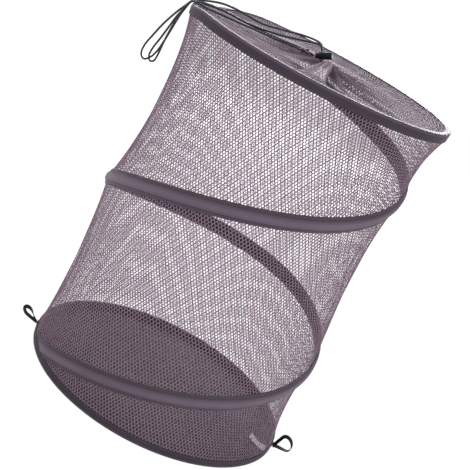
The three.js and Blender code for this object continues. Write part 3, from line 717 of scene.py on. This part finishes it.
sleeve = {
    "height": 0.52, "topRadius": 0.18, "baseRadius": 0.191, "inset": 0.0011, "topLeg": 0.013, "baseLeg": 0.011,
    "topPull": 0.009, "topPinch": 0.005, "topDip": 0.008, "bow": 0.0085, "flat": 0.067,
    "nearTop": 5,  # the power that keeps the pull, pinch and dip near the top
    "dipAngle": math.radians(170), "dipSpan": (15, 45),  # degrees to either side, full and gone
}
spiral = {
    "rise": 0.2653, "middle": 0.2645, "lean": 0.0205, "leanAngle": math.radians(-16.5),
    "sway": 0.0059, "swayAngle": math.radians(98), "half": 0.0115, "grip": 0.0045,
    "lift": 0.0075, "liftSpans": ((405, 445, 1), (485, 515, 0.7)),  # degrees from and to, share of the lift
    "margin": 0.0022, "over": 0.0003, "leastBay": 1e-6,
    "drawIn": 0.018, "drawInShares": (0, 0.4, 0.33, 0.36, 0.94, 0.28, 0),
    "sharesFrom": -1.5, "sharesPerTurn": 2,  # where along the spiral the shares above lie, in turns
}
looseNet = {
    "wide": 0.0007, "wideRipples": 19, "wideClimb": 24, "wander": 2.3, "wanders": 3,
    "narrow": 0.0005, "narrowRipples": 41, "narrowClimb": 31, "fullBay": 0.15,
}


def outerRadius(z):
    return sleeve["baseRadius"] + (sleeve["topRadius"] - sleeve["baseRadius"]) * z / sleeve["height"]


# the sprung sleeve stands a little out of true: an oval top that dips under the cords, and a middle bowed left
def settled(x, y, z):
    up = np.clip(z / sleeve["height"], 0, 1) ** sleeve["nearTop"]
    upSleeve = np.clip(z / (sleeve["height"] - sleeve["topLeg"]), 0, 1)
    out = np.hypot(x, y) / sleeve["topRadius"]
    oval = up * out / sleeve["topRadius"]
    bow = sleeve["bow"] * np.sin(math.pi * upSleeve ** 2)
    away = np.degrees(np.arccos(np.cos(np.arctan2(y, x) - sleeve["dipAngle"])))
    dip = sleeve["topDip"] * up * out ** 2 * (1 - smoothStep(away, *sleeve["dipSpan"]))
    return np.column_stack([x * (1 + sleeve["topPull"] * oval) - bow, y * (1 - sleeve["topPinch"] * oval), z - dip])


def roundPoint(angle, radius, z):
    return settled(radius * np.cos(angle), radius * np.sin(angle), z)


def spiralHeight(angle):
    turns = angle / math.tau
    lean = spiral["lean"] * np.cos(angle - spiral["leanAngle"])
    sway = spiral["sway"] * np.cos(2 * angle - spiral["swayAngle"])
    degrees = np.degrees(angle)
    lift = sum(share * smoothStep(degrees, first, last) for first, last, share in spiral["liftSpans"])
    return spiral["middle"] + spiral["rise"] * (turns - 0.5) + lean + sway + spiral["lift"] * lift


# how far the net is drawn in between one pass of the spiral and the next
def bays(angle, z):
    turns = ((angle + math.pi) % math.tau - math.pi) / math.tau
    passes = np.stack([turns - 1, turns, turns + 1, turns + 2])
    edges = spiralHeight(passes * math.tau)
    bay = np.clip((edges <= z).sum(axis=0) - 1, 0, len(passes) - 2)
    pick = np.arange(len(angle))
    low = np.maximum(edges[bay, pick] + spiral["grip"], sleeve["baseLeg"])
    high = np.minimum(edges[bay + 1, pick] - spiral["grip"], sleeve["height"] - sleeve["topLeg"])
    share = np.clip((z - low) / np.maximum(high - low, spiral["leastBay"]), 0, 1)
    shares = np.array(spiral["drawInShares"])
    last = len(shares) - 1
    place = np.clip((passes[bay, pick] - spiral["sharesFrom"]) * spiral["sharesPerTurn"], 0, last)
    left = np.minimum(np.floor(place).astype(int), last - 1)
    depth = shares[left] + (shares[left + 1] - shares[left]) * smoothStep(place, left, left + 1)
    return share, depth, high - low


# uneven is 1 for the loose net and 0 for the taut line that the casing follows
def wallRadius(angle, z, uneven):
    share, depth, tall = bays(angle, z)
    bow = 4 * share * (1 - share)
    wander = looseNet["wander"] * np.sin(looseNet["wanders"] * angle)
    wide = np.sin(looseNet["wideRipples"] * angle + wander + looseNet["wideClimb"] * z)
    narrow = np.sin(looseNet["narrowRipples"] * angle - looseNet["narrowClimb"] * z)
    ripple = looseNet["wide"] * wide + looseNet["narrow"] * narrow
    slack = uneven * ripple * bow * np.clip(tall / looseNet["fullBay"], 0, 1)
    return outerRadius(z) - sleeve["inset"] - spiral["drawIn"] * depth * bow + slack


def wallPoint(angle, z, out):
    return roundPoint(angle, wallRadius(angle, z, 1) + out, z)


# on the net's outer face, where the casing lies
def spiralPoint(angle, upwards, outwards):
    z = np.clip(spiralHeight(angle) + upwards, spiral["margin"], sleeve["height"] - spiral["margin"])
    return roundPoint(angle, wallRadius(angle, z, 0) + spiral["over"] + outwards, z)


# Net: hexagonal cells with real holes

net = {
    "columns": 240, "sectors": 6, "rowPairs": 61, "holeShare": 0.77, "thickness": 0.0003, "sideTall": 0.3,
    "meanRadius": 0.185, "foot": 0.0035, "tall": 0.5115, "inwards": 0.0004, "weldShare": 0.01, "mergeShare": 0.02,
}


# two cells with their holes cut, tall narrow ones as in stretched net, repeated over the patch
def netPatch(name, columns, rowPairs, pitch):
    bm = bmesh.new()
    rise = pitch * math.sqrt(3)
    for x, y in ((0, 0), (pitch / 2, rise / 2)):
        bmesh.ops.create_circle(
            bm, cap_ends=True, segments=6, radius=pitch / math.sqrt(3), matrix=Matrix.Translation((x, y, 0))
        )
    whole = bm.faces[:]
    for face in whole:
        middle = face.calc_center_median()
        for vert in face.verts:
            onSide = abs(vert.co.x - middle.x) > pitch / 4
            tall = net["sideTall"] if onSide else (3 - net["sideTall"]) / 2
            vert.co.y = middle.y + (vert.co.y - middle.y) * tall
    bmesh.ops.inset_individual(bm, faces=whole, thickness=(1 - net["holeShare"]) * pitch / 2, use_even_offset=True)
    bmesh.ops.delete(bm, geom=whole, context="FACES")
    bmesh.ops.remove_doubles(bm, verts=bm.verts, dist=pitch * net["weldShare"])
    repeats = ((columns, (pitch, 0, 0)), (rowPairs, (0, rise, 0)))
    return repeatMesh(meshFrom(bm, name + "_cell"), name, repeats, merge=pitch * net["mergeShare"])


# panels side by side round the hamper, with each point's angle and share of the way across, and the width
def netPanels(name, shape, radius):
    pitch = math.tau * radius / shape["columns"]
    columns = shape["columns"] // shape["sectors"]
    tall = shape["rowPairs"] * pitch * math.sqrt(3)
    for i in range(shape["sectors"]):
        mesh, flat = netPatch(f"{name}_{i + 1}", columns, shape["rowPairs"], pitch)
        angle = (flat[:, 0] / pitch + i * columns) / shape["columns"] * math.tau
        yield mesh, angle, (flat[:, 1] + pitch / math.sqrt(3)) / tall, columns * pitch


def netPiece(mesh, points, material):
    setPoints(mesh, points)
    obj = newObject(mesh.name, mesh, material)
    thicken(obj, "yarn", net["thickness"], offset=0)
    return obj


def makeWallNet():
    pieces = []
    for mesh, angle, share, width in netPanels("wall_net", net, net["meanRadius"]):
        z = net["foot"] + share * net["tall"]
        piece = netPiece(mesh, wallPoint(angle, z, -net["inwards"]), netCloth)
        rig.sheet(piece, flat=(width, 0.513), held="stretched", rests_on=["top_binding", "bottom_binding"],
                 area=0.513 * width * 0.62)
        pieces.append(piece)
    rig.replaces(pieces[0], "side_mesh")
    for piece in pieces:
        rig.ride(piece, "base")
        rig.slot(piece, "mesh_fabric")
        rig.squash(piece, "collapse", (0, 0, 1), (0, 0, 0.003), keep=sleeve["flat"])
    print("wall net", len(pieces), "panels")


makeWallNet()


# Edge bindings and the spiral casing

binding = {
    "outline": [  # of the bottom one, inwards and up
        (0.0006, 0.0002), (0.003, 0.0), (0.0065, 0.0), (0.0096, 0.0001), (0.01, 0.0004), (0.0096, 0.0008),
        (0.0066, 0.0009), (0.0056, 0.0014), (0.0052, 0.0026), (0.0046, 0.0042), (0.0032, 0.005), (0.0018, 0.0053),
        (0.001, 0.006), (0.0008, 0.0075), (0.0008, 0.0106), (0.0004, 0.011), (0.0, 0.0106), (-0.0001, 0.0075),
        (-0.0003, 0.0048), (-0.0004, 0.003), (-0.0001, 0.0012),
    ],
    "outlineLeg": 0.011, "legFrom": 0.006, "outlineFlange": 0.01, "flangeFrom": 0.006, "steps": 240,
    "pucker": 0.00012, "puckers": 170, "puckerFrom": 0.004, "seam": 0.0018, "seamOver": 0.0001,
}
stitch = {"pitch": 0.0034, "size": (0.0024, 0.00055, 0.0004)}


def ringPlace(fromEnd):
    def place(u, outwards, upwards):
        z = fromEnd(upwards)
        angle = u * math.tau
        above = np.clip(upwards / binding["puckerFrom"], 0, 1)
        pucker = binding["pucker"] * np.sin(angle * binding["puckers"]) * above
        return roundPoint(angle, outerRadius(z) - outwards + pucker, z)
    return place


# small stitches in a row, laid along a surface: place(along, across, out) in metres
def stitchRow(name, length, place):
    bm = bmesh.new()
    bmesh.ops.create_uvsphere(bm, u_segments=6, v_segments=4, radius=0.5)
    bmesh.ops.scale(bm, vec=stitch["size"], verts=bm.verts)
    count = int(length / stitch["pitch"])
    made, points = repeatMesh(meshFrom(bm, name + "_one"), name, [(count, (length / count, 0, 0))])
    setPoints(made, place(points[:, 0], points[:, 1], points[:, 2]))
    return newObject(name, made, threadCloth)


# each end has its way up, radius, body, leg, flange and how far the flange's folded edge is squeezed
def makeBindings():
    ends = {
        "bottom": (lambda up: up, sleeve["baseRadius"], "base", sleeve["baseLeg"], 0.01, 1),
        "top": (lambda up: sleeve["height"] - up, sleeve["topRadius"], "top", sleeve["topLeg"], 0.007, 0.4),
    }
    for name, (fromEnd, radius, body, leg, flange, squeeze) in ends.items():
        outline = []
        for inwards, up in binding["outline"]:
            if up > binding["legFrom"]:
                up = leg - (binding["outlineLeg"] - up)
            if inwards > binding["flangeFrom"]:
                inwards = flange - (binding["outlineFlange"] - inwards) * squeeze
            outline.append((inwards, up))
        length = math.tau * radius
        tape = sweptPiece(
            f"{name}_edge_tape", binding["steps"], outline, ringPlace(fromEnd), length, edgeTape, closed=True
        )
        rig.replaces(tape, f"{name}_binding")
        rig.ride(tape, body)
        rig.slot(tape, "binding_tape")

        def onLeg(along, across, out):
            z = fromEnd(leg - binding["seam"] + across)
            return roundPoint(along / radius, outerRadius(z) + binding["seamOver"] + out, z)

        stitches = stitchRow(f"{name}_edge_stitches", length, onLeg)
        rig.ride(stitches, body)
        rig.slot(stitches, "binding_tape")
    print("bindings")


makeBindings()

casing = {
    "steps": 600, "first": math.radians(-157), "last": math.radians(541), "meanRadius": 0.188,
    "lowFade": (0.010, 0.013), "highFade": (0.011, 0.014),  # start from the floor or the rim, and length
    "thinShare": 0.12, "thinInwards": 0.0004, "wave": 0.00018, "waves": 150, "waveFrom": 0.006,
    "points": 25, "flat": 0.0008, "crown": 0.0024, "crownHalf": 0.0056, "crownBelow": 0.0004, "crownPower": 5,
    "groove": 0.0005, "grooveAt": 0.0074, "grooveWide": 0.0006, "edge": 0.0004, "edgeRound": 0.0001,
}
rod = {
    "span": (-139.5, 523.5), "points": 160, "tube": (0.0009, 620, 8), "outwards": 0.0014,
    "caps": {"lower": (-140.6, -138.1), "upper": (522.1, 524.6)}, "capPoints": 5, "capTube": (0.0015, 12, 12),
    "capEnds": 0.6,
}


# the casing thins out and slips under the bindings at its two ends
def casingEnds(angle):
    z = spiralHeight(angle)
    low = (z - casing["lowFade"][0]) / casing["lowFade"][1]
    high = (sleeve["height"] - casing["highFade"][0] - z) / casing["highFade"][1]
    return smoothStep(np.minimum(low, high), 0, 1)


def casingPlace(u, outwards, upwards):
    angle = casing["first"] + (casing["last"] - casing["first"]) * u
    full = casingEnds(angle)
    wave = casing["wave"] * np.sin(angle * casing["waves"]) * (np.abs(upwards) > casing["waveFrom"])
    thin = outwards * casing["thinShare"] - casing["thinInwards"]
    return spiralPoint(angle, upwards, (outwards + wave) * full + thin * (1 - full))


# points of the spring rod between two angles in degrees, under the casing's crown
def rodPoints(span, count):
    still = np.zeros(count)
    return spiralPoint(np.radians(np.linspace(*span, count)), still, still + rod["outwards"])


def makeCasing():
    half = spiral["half"]
    ups = np.linspace(-half, half, casing["points"])
    fromCrown = np.abs(ups + casing["crownBelow"]) / casing["crownHalf"]
    hump = casing["flat"] + casing["crown"] / (1 + fromCrown ** casing["crownPower"])
    groove = casing["groove"] * np.exp(-((np.abs(ups) - casing["grooveAt"]) / casing["grooveWide"]) ** 2)
    face = [(float(o), float(z)) for o, z in zip(hump - groove, ups)]
    edge, corner = casing["edge"], half + casing["edgeRound"]
    outline = [(0.0, -half), (edge, -corner)] + face + [(edge, corner), (0.0, half)]
    length = (casing["last"] - casing["first"]) * casing["meanRadius"]
    tape = sweptPiece("spiral_tape", casing["steps"], outline, casingPlace, length, spiralTape)
    pieces = [tape]
    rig.replaces(tape, "spiral_casing")

    def onEdge(side):
        def place(along, across, out):
            return casingPlace(along / length, casing["flat"] + out, side + across)
        return place

    for i, side in enumerate((-casing["grooveAt"], casing["grooveAt"])):
        pieces.append(stitchRow(f"spiral_stitches_{i + 1}", length, onEdge(side)))

    line = rodPoints(rod["span"], rod["points"])
    wire, _, _ = tubePiece("spiral_rod", line, *rod["tube"], springSteel)
    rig.replaces(wire, "spiral_wire")
    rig.slot(wire, "spring_steel")
    for name, span in rod["caps"].items():
        line = rodPoints(span, rod["capPoints"])
        cap, _, _ = tubePiece(f"spiral_cap_{name}", line, *rod["capTube"], lockPlastic, ends=rod["capEnds"])
        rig.replaces(cap, f"spiral_{name}_tip")
        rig.slot(cap, "lock_plastic")
        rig.ride(cap, "base")
        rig.squash(cap, "collapse", (0, 0, 1), (0, 0, 0.003), keep=sleeve["flat"])
    for piece in pieces:
        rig.slot(piece, "binding_tape")
    for piece in pieces + [wire]:
        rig.ride(piece, "base")
        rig.squash(piece, "collapse", (0, 0, 1), (0, 0, 0.003), keep=sleeve["flat"])
    print("spiral casing")


makeCasing()


# Base cloth

base = {
    "sides": 120, "middle": 0.0012, "rings": 46, "ringStep": 0.00403, "edge": 0.186, "settle": 0.03,
    "level": 0.0022, "rise": 0.0006, "swell": 0.0012, "swellWaves": ((28, 11, 1), (-7, 19, 0)),
    "pull": 0.0005, "pulls": 31, "wander": 2, "wanders": 5, "thickness": 0.0004,
}


def makeBase():
    bm = bmesh.new()
    bmesh.ops.create_circle(bm, cap_ends=False, segments=base["sides"], radius=base["middle"])
    edges = bm.edges[:]
    for _ in range(base["rings"]):
        made = bmesh.ops.extrude_edge_only(bm, edges=edges)
        edges = [e for e in made["geom"] if isinstance(e, bmesh.types.BMEdge)]
        verts = [v for v in made["geom"] if isinstance(v, bmesh.types.BMVert)]
        now = verts[0].co.length
        bmesh.ops.scale(bm, vec=((now + base["ringStep"]) / now,) * 2 + (1,), verts=verts)
    mouth = [e for e in bm.edges if e.is_boundary and e.verts[0].co.length < base["middle"] * 2]
    bmesh.ops.holes_fill(bm, edges=mouth, sides=0)
    bmesh.ops.recalc_face_normals(bm, faces=bm.faces)
    mesh = meshFrom(bm, "base_cloth")
    p = meshPoints(mesh)
    setCloth(mesh, p[:, 0], p[:, 1])
    r, a = np.hypot(p[:, 0], p[:, 1]), np.arctan2(p[:, 1], p[:, 0])
    inside = np.clip((base["edge"] - r) / base["settle"], 0, 1)
    swell = base["swell"]
    for alongX, alongY, shift in base["swellWaves"]:
        swell = swell * np.sin(alongX * p[:, 0] + alongY * p[:, 1] + shift)
    pull = base["pull"] * np.sin(base["pulls"] * a + base["wander"] * np.sin(base["wanders"] * a))
    pull = pull * (r / base["edge"]) ** 3
    p[:, 2] = base["level"] + (swell + pull + base["rise"]) * inside
    setPoints(mesh, p)
    cloth = newObject("base_cloth", mesh, baseCloth)
    thicken(cloth, "cloth", base["thickness"])
    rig.replaces(cloth, "base_panel")
    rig.ride(cloth, "base")
    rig.slot(cloth, "base_cloth")
    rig.sheet(cloth, flat=(0.3733, 0.3733), held="stretched", rests_on=["bottom_binding"], area=math.pi * 0.1866 ** 2)
    print("base cloth")


makeBase()


# Lid

lid = {
    "inner": 0.0085, "outer": 0.1754, "rim": 0.5189, "sag": 0.0035, "columns": 240, "sectors": 2, "rowPairs": 21,
    "tight": 0.01, "fold": 0.0075, "fade": 1.6, "frontFade": 0.9,  # powers by which folds fade towards the rim
    "front": ((-106, -98), (-40, 0)),  # degrees over which the deep folds come and go
    "rib": 0.0015, "ribs": 80, "ribFrom": -98, "ribSpan": ((-103, -99), (-82, -78)),
    # tone: how strongly folds and ribs paint the lid's net darker in their pockets and lighter on their crests, as
    # painted shade and painted light
    "pleat": 0.0012, "pleats": 60, "pleatShare": 0.4, "tone": 0.3,
    "swirl": math.radians(38), "curl": ((-101, -84), (-35, 45)), "curlReach": 0.032, "waver": 0.04, "wavers": 12,
    "folds": [  # degrees, height as a share of fold
        (-106, -0.9), (-102, -1.4), (-98, 1.1), (-92, 1.6), (-87, 1.7), (-84.5, -1.2), (-79, -1.6), (-75, -0.5),
        (-73, 0.9), (-71, -0.6), (-62, -1.4), (-52, -0.4), (-49, 1.0), (-46.5, -0.8), (-40, -1.2), (-32, 0.1),
        (-25, 0.6), (-14, -0.4), (-3, 0.5), (9, -0.5), (20, 0.6), (33, -0.7), (44, 0.5), (55, -0.5), (67, 0.7),
        (79, -0.6), (90, 0.5), (103, -0.6), (114, 0.7), (127, -0.5), (138, 0.5), (150, -0.6), (161, 0.6),
        (173, -0.5), (184, 0.5), (196, -0.6), (208, 0.5), (219, -0.6), (229, 0.7), (238, 0.9), (246, 0.5),
        (254, -0.9),
    ],
}


# degrees from the first fold on, which lies at the front left
def foldDegrees(angle):
    first = lid["folds"][0][0]
    return (np.degrees(angle) - first) % 360 + first


def foldShare(degrees):
    at = np.array([a for a, _ in lid["folds"]])
    value = np.array([v for _, v in lid["folds"]])
    i = np.clip(np.searchsorted(at, degrees, side="right") - 1, 0, len(at) - 2)
    return value[i] + (value[i + 1] - value[i]) * smoothStep(degrees, at[i], at[i + 1])


# 1 between two spans of degrees, rising over the first and falling over the last
def within(degrees, spans):
    return smoothStep(degrees, *spans[0]) * (1 - smoothStep(degrees, *spans[1]))


# the gathered net: folds run out from the middle, and those at the front right curl round it;
# with tone it gives the painted shade and painted light of each point instead of its place, from 0, painted darkest in
# a fold's pocket, to 1, painted lightest on a crest
def lidPoint(angle, radius, tone=False):
    share = np.clip((radius - lid["inner"]) / (lid["outer"] - lid["inner"]), 0, 1)
    level = gather["height"] + (lid["rim"] - gather["height"]) * np.sqrt(share) - lid["sag"] * np.sin(math.pi * share)
    degrees = foldDegrees(angle)
    front = within(degrees, lid["front"])
    start = np.clip((radius - lid["inner"]) / lid["tight"], 0, 1)
    fade = (1 - share) ** (lid["fade"] - lid["frontFade"] * front)
    fold = foldShare(degrees) * start * fade
    ribs = np.cos(np.radians(degrees - lid["ribFrom"]) * lid["ribs"]) * within(degrees, lid["ribSpan"])
    ribs = ribs * (1 - share) * start
    if tone:
        return np.clip(0.5 + lid["tone"] * (fold + ribs), 0, 1)
    pleat = lid["pleat"] * np.cos(lid["pleats"] * angle) * np.clip(1 - share / lid["pleatShare"], 0, 1)
    relief = lid["fold"] * fold + pleat * (1 - front) * start + lid["rib"] * ribs
    curl = within(degrees, lid["curl"]) * np.exp((lid["inner"] - radius) / lid["curlReach"])
    waver = lid["waver"] * np.sin(lid["wavers"] * angle + 1) * start * fade * (1 - front)
    return roundPoint(angle + lid["swirl"] * curl + waver, radius, level + relief)


def makeLid():
    pieces = []
    for mesh, angle, share, _ in netPanels("lid_net", lid, lid["outer"]):
        radius = lid["inner"] + (lid["outer"] - lid["inner"]) * share
        # the section map's second coordinate holds the painted shade and painted light of the folds, for the lid's
        # colour
        setCloth(mesh, share, lidPoint(angle, radius, tone=True), "section")
        piece = netPiece(mesh, lidPoint(angle, radius), lidCloth)
        strip = (math.pi * lid["outer"], 0.171)
        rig.sheet(piece, flat=strip, held="gathered", rests_on=["top_binding"], area=strip[0] * strip[1] * 0.31)
        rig.ride(piece, "top")
        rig.slot(piece, "mesh_fabric")
        pieces.append(piece)
    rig.replaces(pieces[0], "lid_mesh")
    print("lid net")


makeLid()


rolledHem = {
    "bendShare": 0.8, "steps": 120, "sides": 12, "pucker": 0.12, "puckers": 30, "mouth": 0.25, "mouthFrom": 0.93,
}


def makeHem():
    span = math.pi - gather["bend"] * rolledHem["bendShare"]

    def place(u, outwards, upwards):
        angle = (u * 2 - 1) * span
        pucker = 1 + rolledHem["pucker"] * np.cos(rolledHem["puckers"] * angle)
        nearEnd = (np.abs(u * 2 - 1) - rolledHem["mouthFrom"]) / (1 - rolledHem["mouthFrom"])
        mouth = 1 + rolledHem["mouth"] * np.clip(nearEnd, 0, 1)
        radius = gather["radius"] + outwards * pucker * mouth
        z = gather["height"] + upwards * pucker * mouth
        return np.column_stack([radius * np.cos(angle), radius * np.sin(angle), z])

    around = np.linspace(0, math.tau, rolledHem["sides"] + 1)[:-1]
    outline = [(gather["hem"] * math.cos(a), gather["hem"] * math.sin(a)) for a in around]
    hem = sweptPiece("lid_hem", rolledHem["steps"], outline, place, 2 * span * gather["radius"], edgeTape)
    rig.replaces(hem, "drawstring_hem")
    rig.ride(hem, "top")
    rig.slot(hem, "mesh_fabric")
    print("hem")


makeHem()


# Elastic loops, tacks, tag

elastic = {
    "pitch": math.radians(24), "root": 0.19407, "height": 0.0065, "eye": 0.0079, "reach": 0.0185, "neck": 0.0012,
    "width": 0.006, "thick": 0.001, "steps": 120, "eyePoints": 17, "twistShare": 0.4,
    "rootPoints": [(-0.002, 0.0006), (0.0008, 0.0008)],  # outwards and up, mirrored for the lower end
    "sectionShares": [
        (-1, -0.93), (-0.6, -1), (0.6, -1), (1, -0.93), (1, -0.4), (1, 0.4),
        (1, 0.93), (0.6, 1), (-0.6, 1), (-1, 0.93), (-1, 0.4), (-1, -0.4),
    ],
}
loops = {
    "right": {"turned": -5, "squeeze": 1.4, "twist": 0.9, "face": 0.55, "lift": math.radians(14)},
    "left": {"turned": 187, "squeeze": 0.6, "twist": -2.0, "face": 1.0, "lift": math.radians(9)},
}
tack = {"size": (0.0009, 0.009, 0.0045), "round": 0.0003, "outwards": 0.1916}


# turned: degrees round the hamper; the tape's plane is twisted along the eye, and turned by face at the root
def makeLoop(side, turned, squeeze, twist, face, lift):
    c, s = math.cos(math.radians(turned)), math.sin(math.radians(turned))
    about = np.array([[c, s, 0], [-s, c, 0], [0, 0, 1]])
    spread = math.acos((elastic["neck"] - elastic["eye"]) / elastic["reach"])
    eye = np.linspace(-spread, spread, elastic["eyePoints"])
    flat = [(x, -y) for x, y in elastic["rootPoints"]]
    flat += [(elastic["reach"] + elastic["eye"] * math.cos(a), elastic["eye"] * math.sin(a)) for a in eye]
    flat += reversed(elastic["rootPoints"])
    c, s = math.cos(elastic["pitch"] + lift), math.sin(elastic["pitch"] + lift)
    points = []
    for x, y in flat:
        points.append((elastic["root"] + x * c - y * squeeze * s, 0.0, elastic["height"] + x * s + y * squeeze * c))
    path, length = smoothPath(points, elastic["steps"])
    tangents = pathFrames(path)[0]
    flatwise = np.cross([0, 1, 0], tangents)

    def place(u, outwards, upwards):
        i = np.rint(u * elastic["steps"]).astype(int)
        turn = (twist * elastic["twistShare"] * np.sin(u * math.pi) - face * np.cos(u * math.pi))[:, None]
        wide = np.array([[0, 1, 0]]) * np.cos(turn) + flatwise[i] * np.sin(turn)
        thin = np.cross(tangents[i], wide)
        p = path[i] + thin * outwards[:, None] + wide * upwards[:, None]
        return p @ about

    outline = [(a * elastic["thick"] / 2, b * elastic["width"] / 2) for a, b in elastic["sectionShares"]]
    loop = sweptPiece(f"{side}_loop_tape", elastic["steps"], outline, place, length, elasticCloth)
    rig.replaces(loop, f"{side}_elastic_loop")
    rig.ride(loop, f"{side}_loop")
    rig.slot(loop, "elastic_tape")


def makeTack(side, turned):
    bm = bmesh.new()
    bmesh.ops.create_cube(bm, size=1)
    bmesh.ops.scale(bm, vec=tack["size"], verts=bm.verts)
    bmesh.ops.bevel(bm, geom=bm.edges[:], offset=tack["round"], affect="EDGES", segments=2, profile=0.5, material=-1)
    bmesh.ops.translate(bm, vec=(tack["outwards"], 0, elastic["height"]), verts=bm.verts)
    bmesh.ops.rotate(bm, matrix=Matrix.Rotation(math.radians(turned), 3, "Z"), verts=bm.verts)
    mesh = meshFrom(bm, f"{side}_tack_patch")
    p = meshPoints(mesh)
    setCloth(mesh, p[:, 1], p[:, 2])
    patch = newObject(f"{side}_tack_patch", mesh, elasticCloth)
    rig.replaces(patch, f"{side}_loop_tack")
    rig.ride(patch, "base")
    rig.slot(patch, "elastic_tape")


for side, ownShape in loops.items():
    makeLoop(side, **ownShape)
    makeTack(side, ownShape["turned"])
print("elastic loops")

paleTag = {
    "from": 0.1585, "long": 0.0275, "wide": 0.015, "cloth": (0.028, 0.015), "faces": (28, 15), "thickness": 0.00025,
    "level": 0.0032, "curl": 0.006, "wave": 0.0006, "waveTurns": (5, 2), "turned": math.radians(-10.5),
}


def makeTag():
    def place(u, v):
        x = paleTag["from"] + paleTag["long"] * u
        y = (v - 0.5) * paleTag["wide"]
        wave = paleTag["wave"] * np.sin(u * paleTag["waveTurns"][0] + v * paleTag["waveTurns"][1])
        z = paleTag["level"] + paleTag["curl"] * (1 - u) ** 3 + wave
        c, s = math.cos(paleTag["turned"]), math.sin(paleTag["turned"])
        return np.column_stack([x * c - y * s, x * s + y * c, z])

    tag = gridPiece("pale_tag", *paleTag["faces"], place, paleTag["cloth"], tagCloth)
    thicken(tag, "cloth", paleTag["thickness"])
    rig.replaces(tag, "blank_tag")
    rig.ride(tag, "base")
    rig.slot(tag, "tag_cloth")
    print("tag")


makeTag()


# CAD pieces that stay

for name, material in {
    "top_hoop_wire": springSteel, "top_hoop_ferrule": springSteel, "bottom_hoop_wire": springSteel,
    "bottom_hoop_ferrule": springSteel, "cord_lock_barrel": lockPlastic, "cord_lock_plunger": lockPlastic,
    "cord_lock_spring": springSteel,
}.items():
    node = frame["nodes"][name]
    node.data.materials.clear()
    node.data.materials.append(material)
print("kept CAD pieces")


# Floor and light

ground = {"half": 14, "level": -0.0002, "tone": (0.93, 0.93, 0.93, 1), "glow": 1.05, "glowShare": 0.92}
room = {"onObject": 0.5, "seen": 1.05}
lamps = {
    "key_softbox": {"energy": 60, "spot": (-2.6, -1.6, 2.6), "target": (0, 0, 0.3), "size": 1.2},
    "fill_softbox": {"energy": 14, "spot": (1.6, -1.3, 0.45), "target": (0, 0, 0.15), "size": 0.8},
    "back_softbox": {"energy": 118, "spot": (0.1, 2.2, 0.95), "target": (0, 0, 0.15), "size": 1.2},
}


# 1 where the camera sees the background, straight, mirrored or through something
def seenRays(nodes):
    rays = addNode(nodes, "LightPath")
    seen = rays.outputs["Is Camera Ray"]
    for kind in ("Is Glossy Ray", "Is Transmission Ray"):
        seen = combine(nodes, "MAXIMUM", seen, rays.outputs[kind])
    return seen


def makeFloor():
    bm = bmesh.new()
    bmesh.ops.create_grid(bm, x_segments=1, y_segments=1, size=ground["half"])
    mesh = meshFrom(bm, "floor")
    material, nodes, shader = newMaterial("floor_white", roughness=0.9, specular=0.05)
    shader.inputs["Base Color"].default_value = ground["tone"]
    glow = addNode(nodes, "Emission", Strength=ground["glow"])
    amount = combine(nodes, "MULTIPLY", seenRays(nodes), ground["glowShare"])
    join(amount, mixSurface(nodes, shader, glow.outputs["Emission"]))
    floor = newObject("floor", mesh, material, smooth=False)
    floor.location.z = ground["level"]
    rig.stage(floor)


# a soft lamp that lights the hamper and isn't seen through the net
def addLamp(name, energy, spot, target, size):
    data = bpy.data.lights.new(name, "AREA")
    data.energy = energy
    data.size = size
    obj = bpy.data.objects.new(name, data)
    scene.collection.objects.link(obj)
    obj.location = spot
    obj.rotation_euler = (Vector(target) - Vector(spot)).to_track_quat("-Z", "Y").to_euler()
    obj.visible_camera = False


def makeLight():
    world = bpy.data.worlds.new("white_room")
    world.use_nodes = True
    nodes = world.node_tree.nodes
    nodes["Background"].inputs["Color"].default_value = (1, 1, 1, 1)
    strength = addNode(nodes, "MapRange")
    strength.inputs["To Min"].default_value = room["onObject"]
    strength.inputs["To Max"].default_value = room["seen"]
    join(seenRays(nodes), strength.inputs["Value"])
    join(strength.outputs["Result"], nodes["Background"].inputs["Strength"])
    scene.world = world
    for name, settings in lamps.items():
        addLamp(name, **settings)


makeFloor()
makeLight()
scene.view_settings.view_transform = "Standard"
print("floor and light")

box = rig.bounds()
with open("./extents.json", "w") as out:
    json.dump({"cad": [list(c) for c in cadBox], "visual": [list(c) for c in box]}, out)
print("sizes", [[round(x, 4) for x in c] for c in cadBox], [[round(x, 4) for x in c] for c in box])
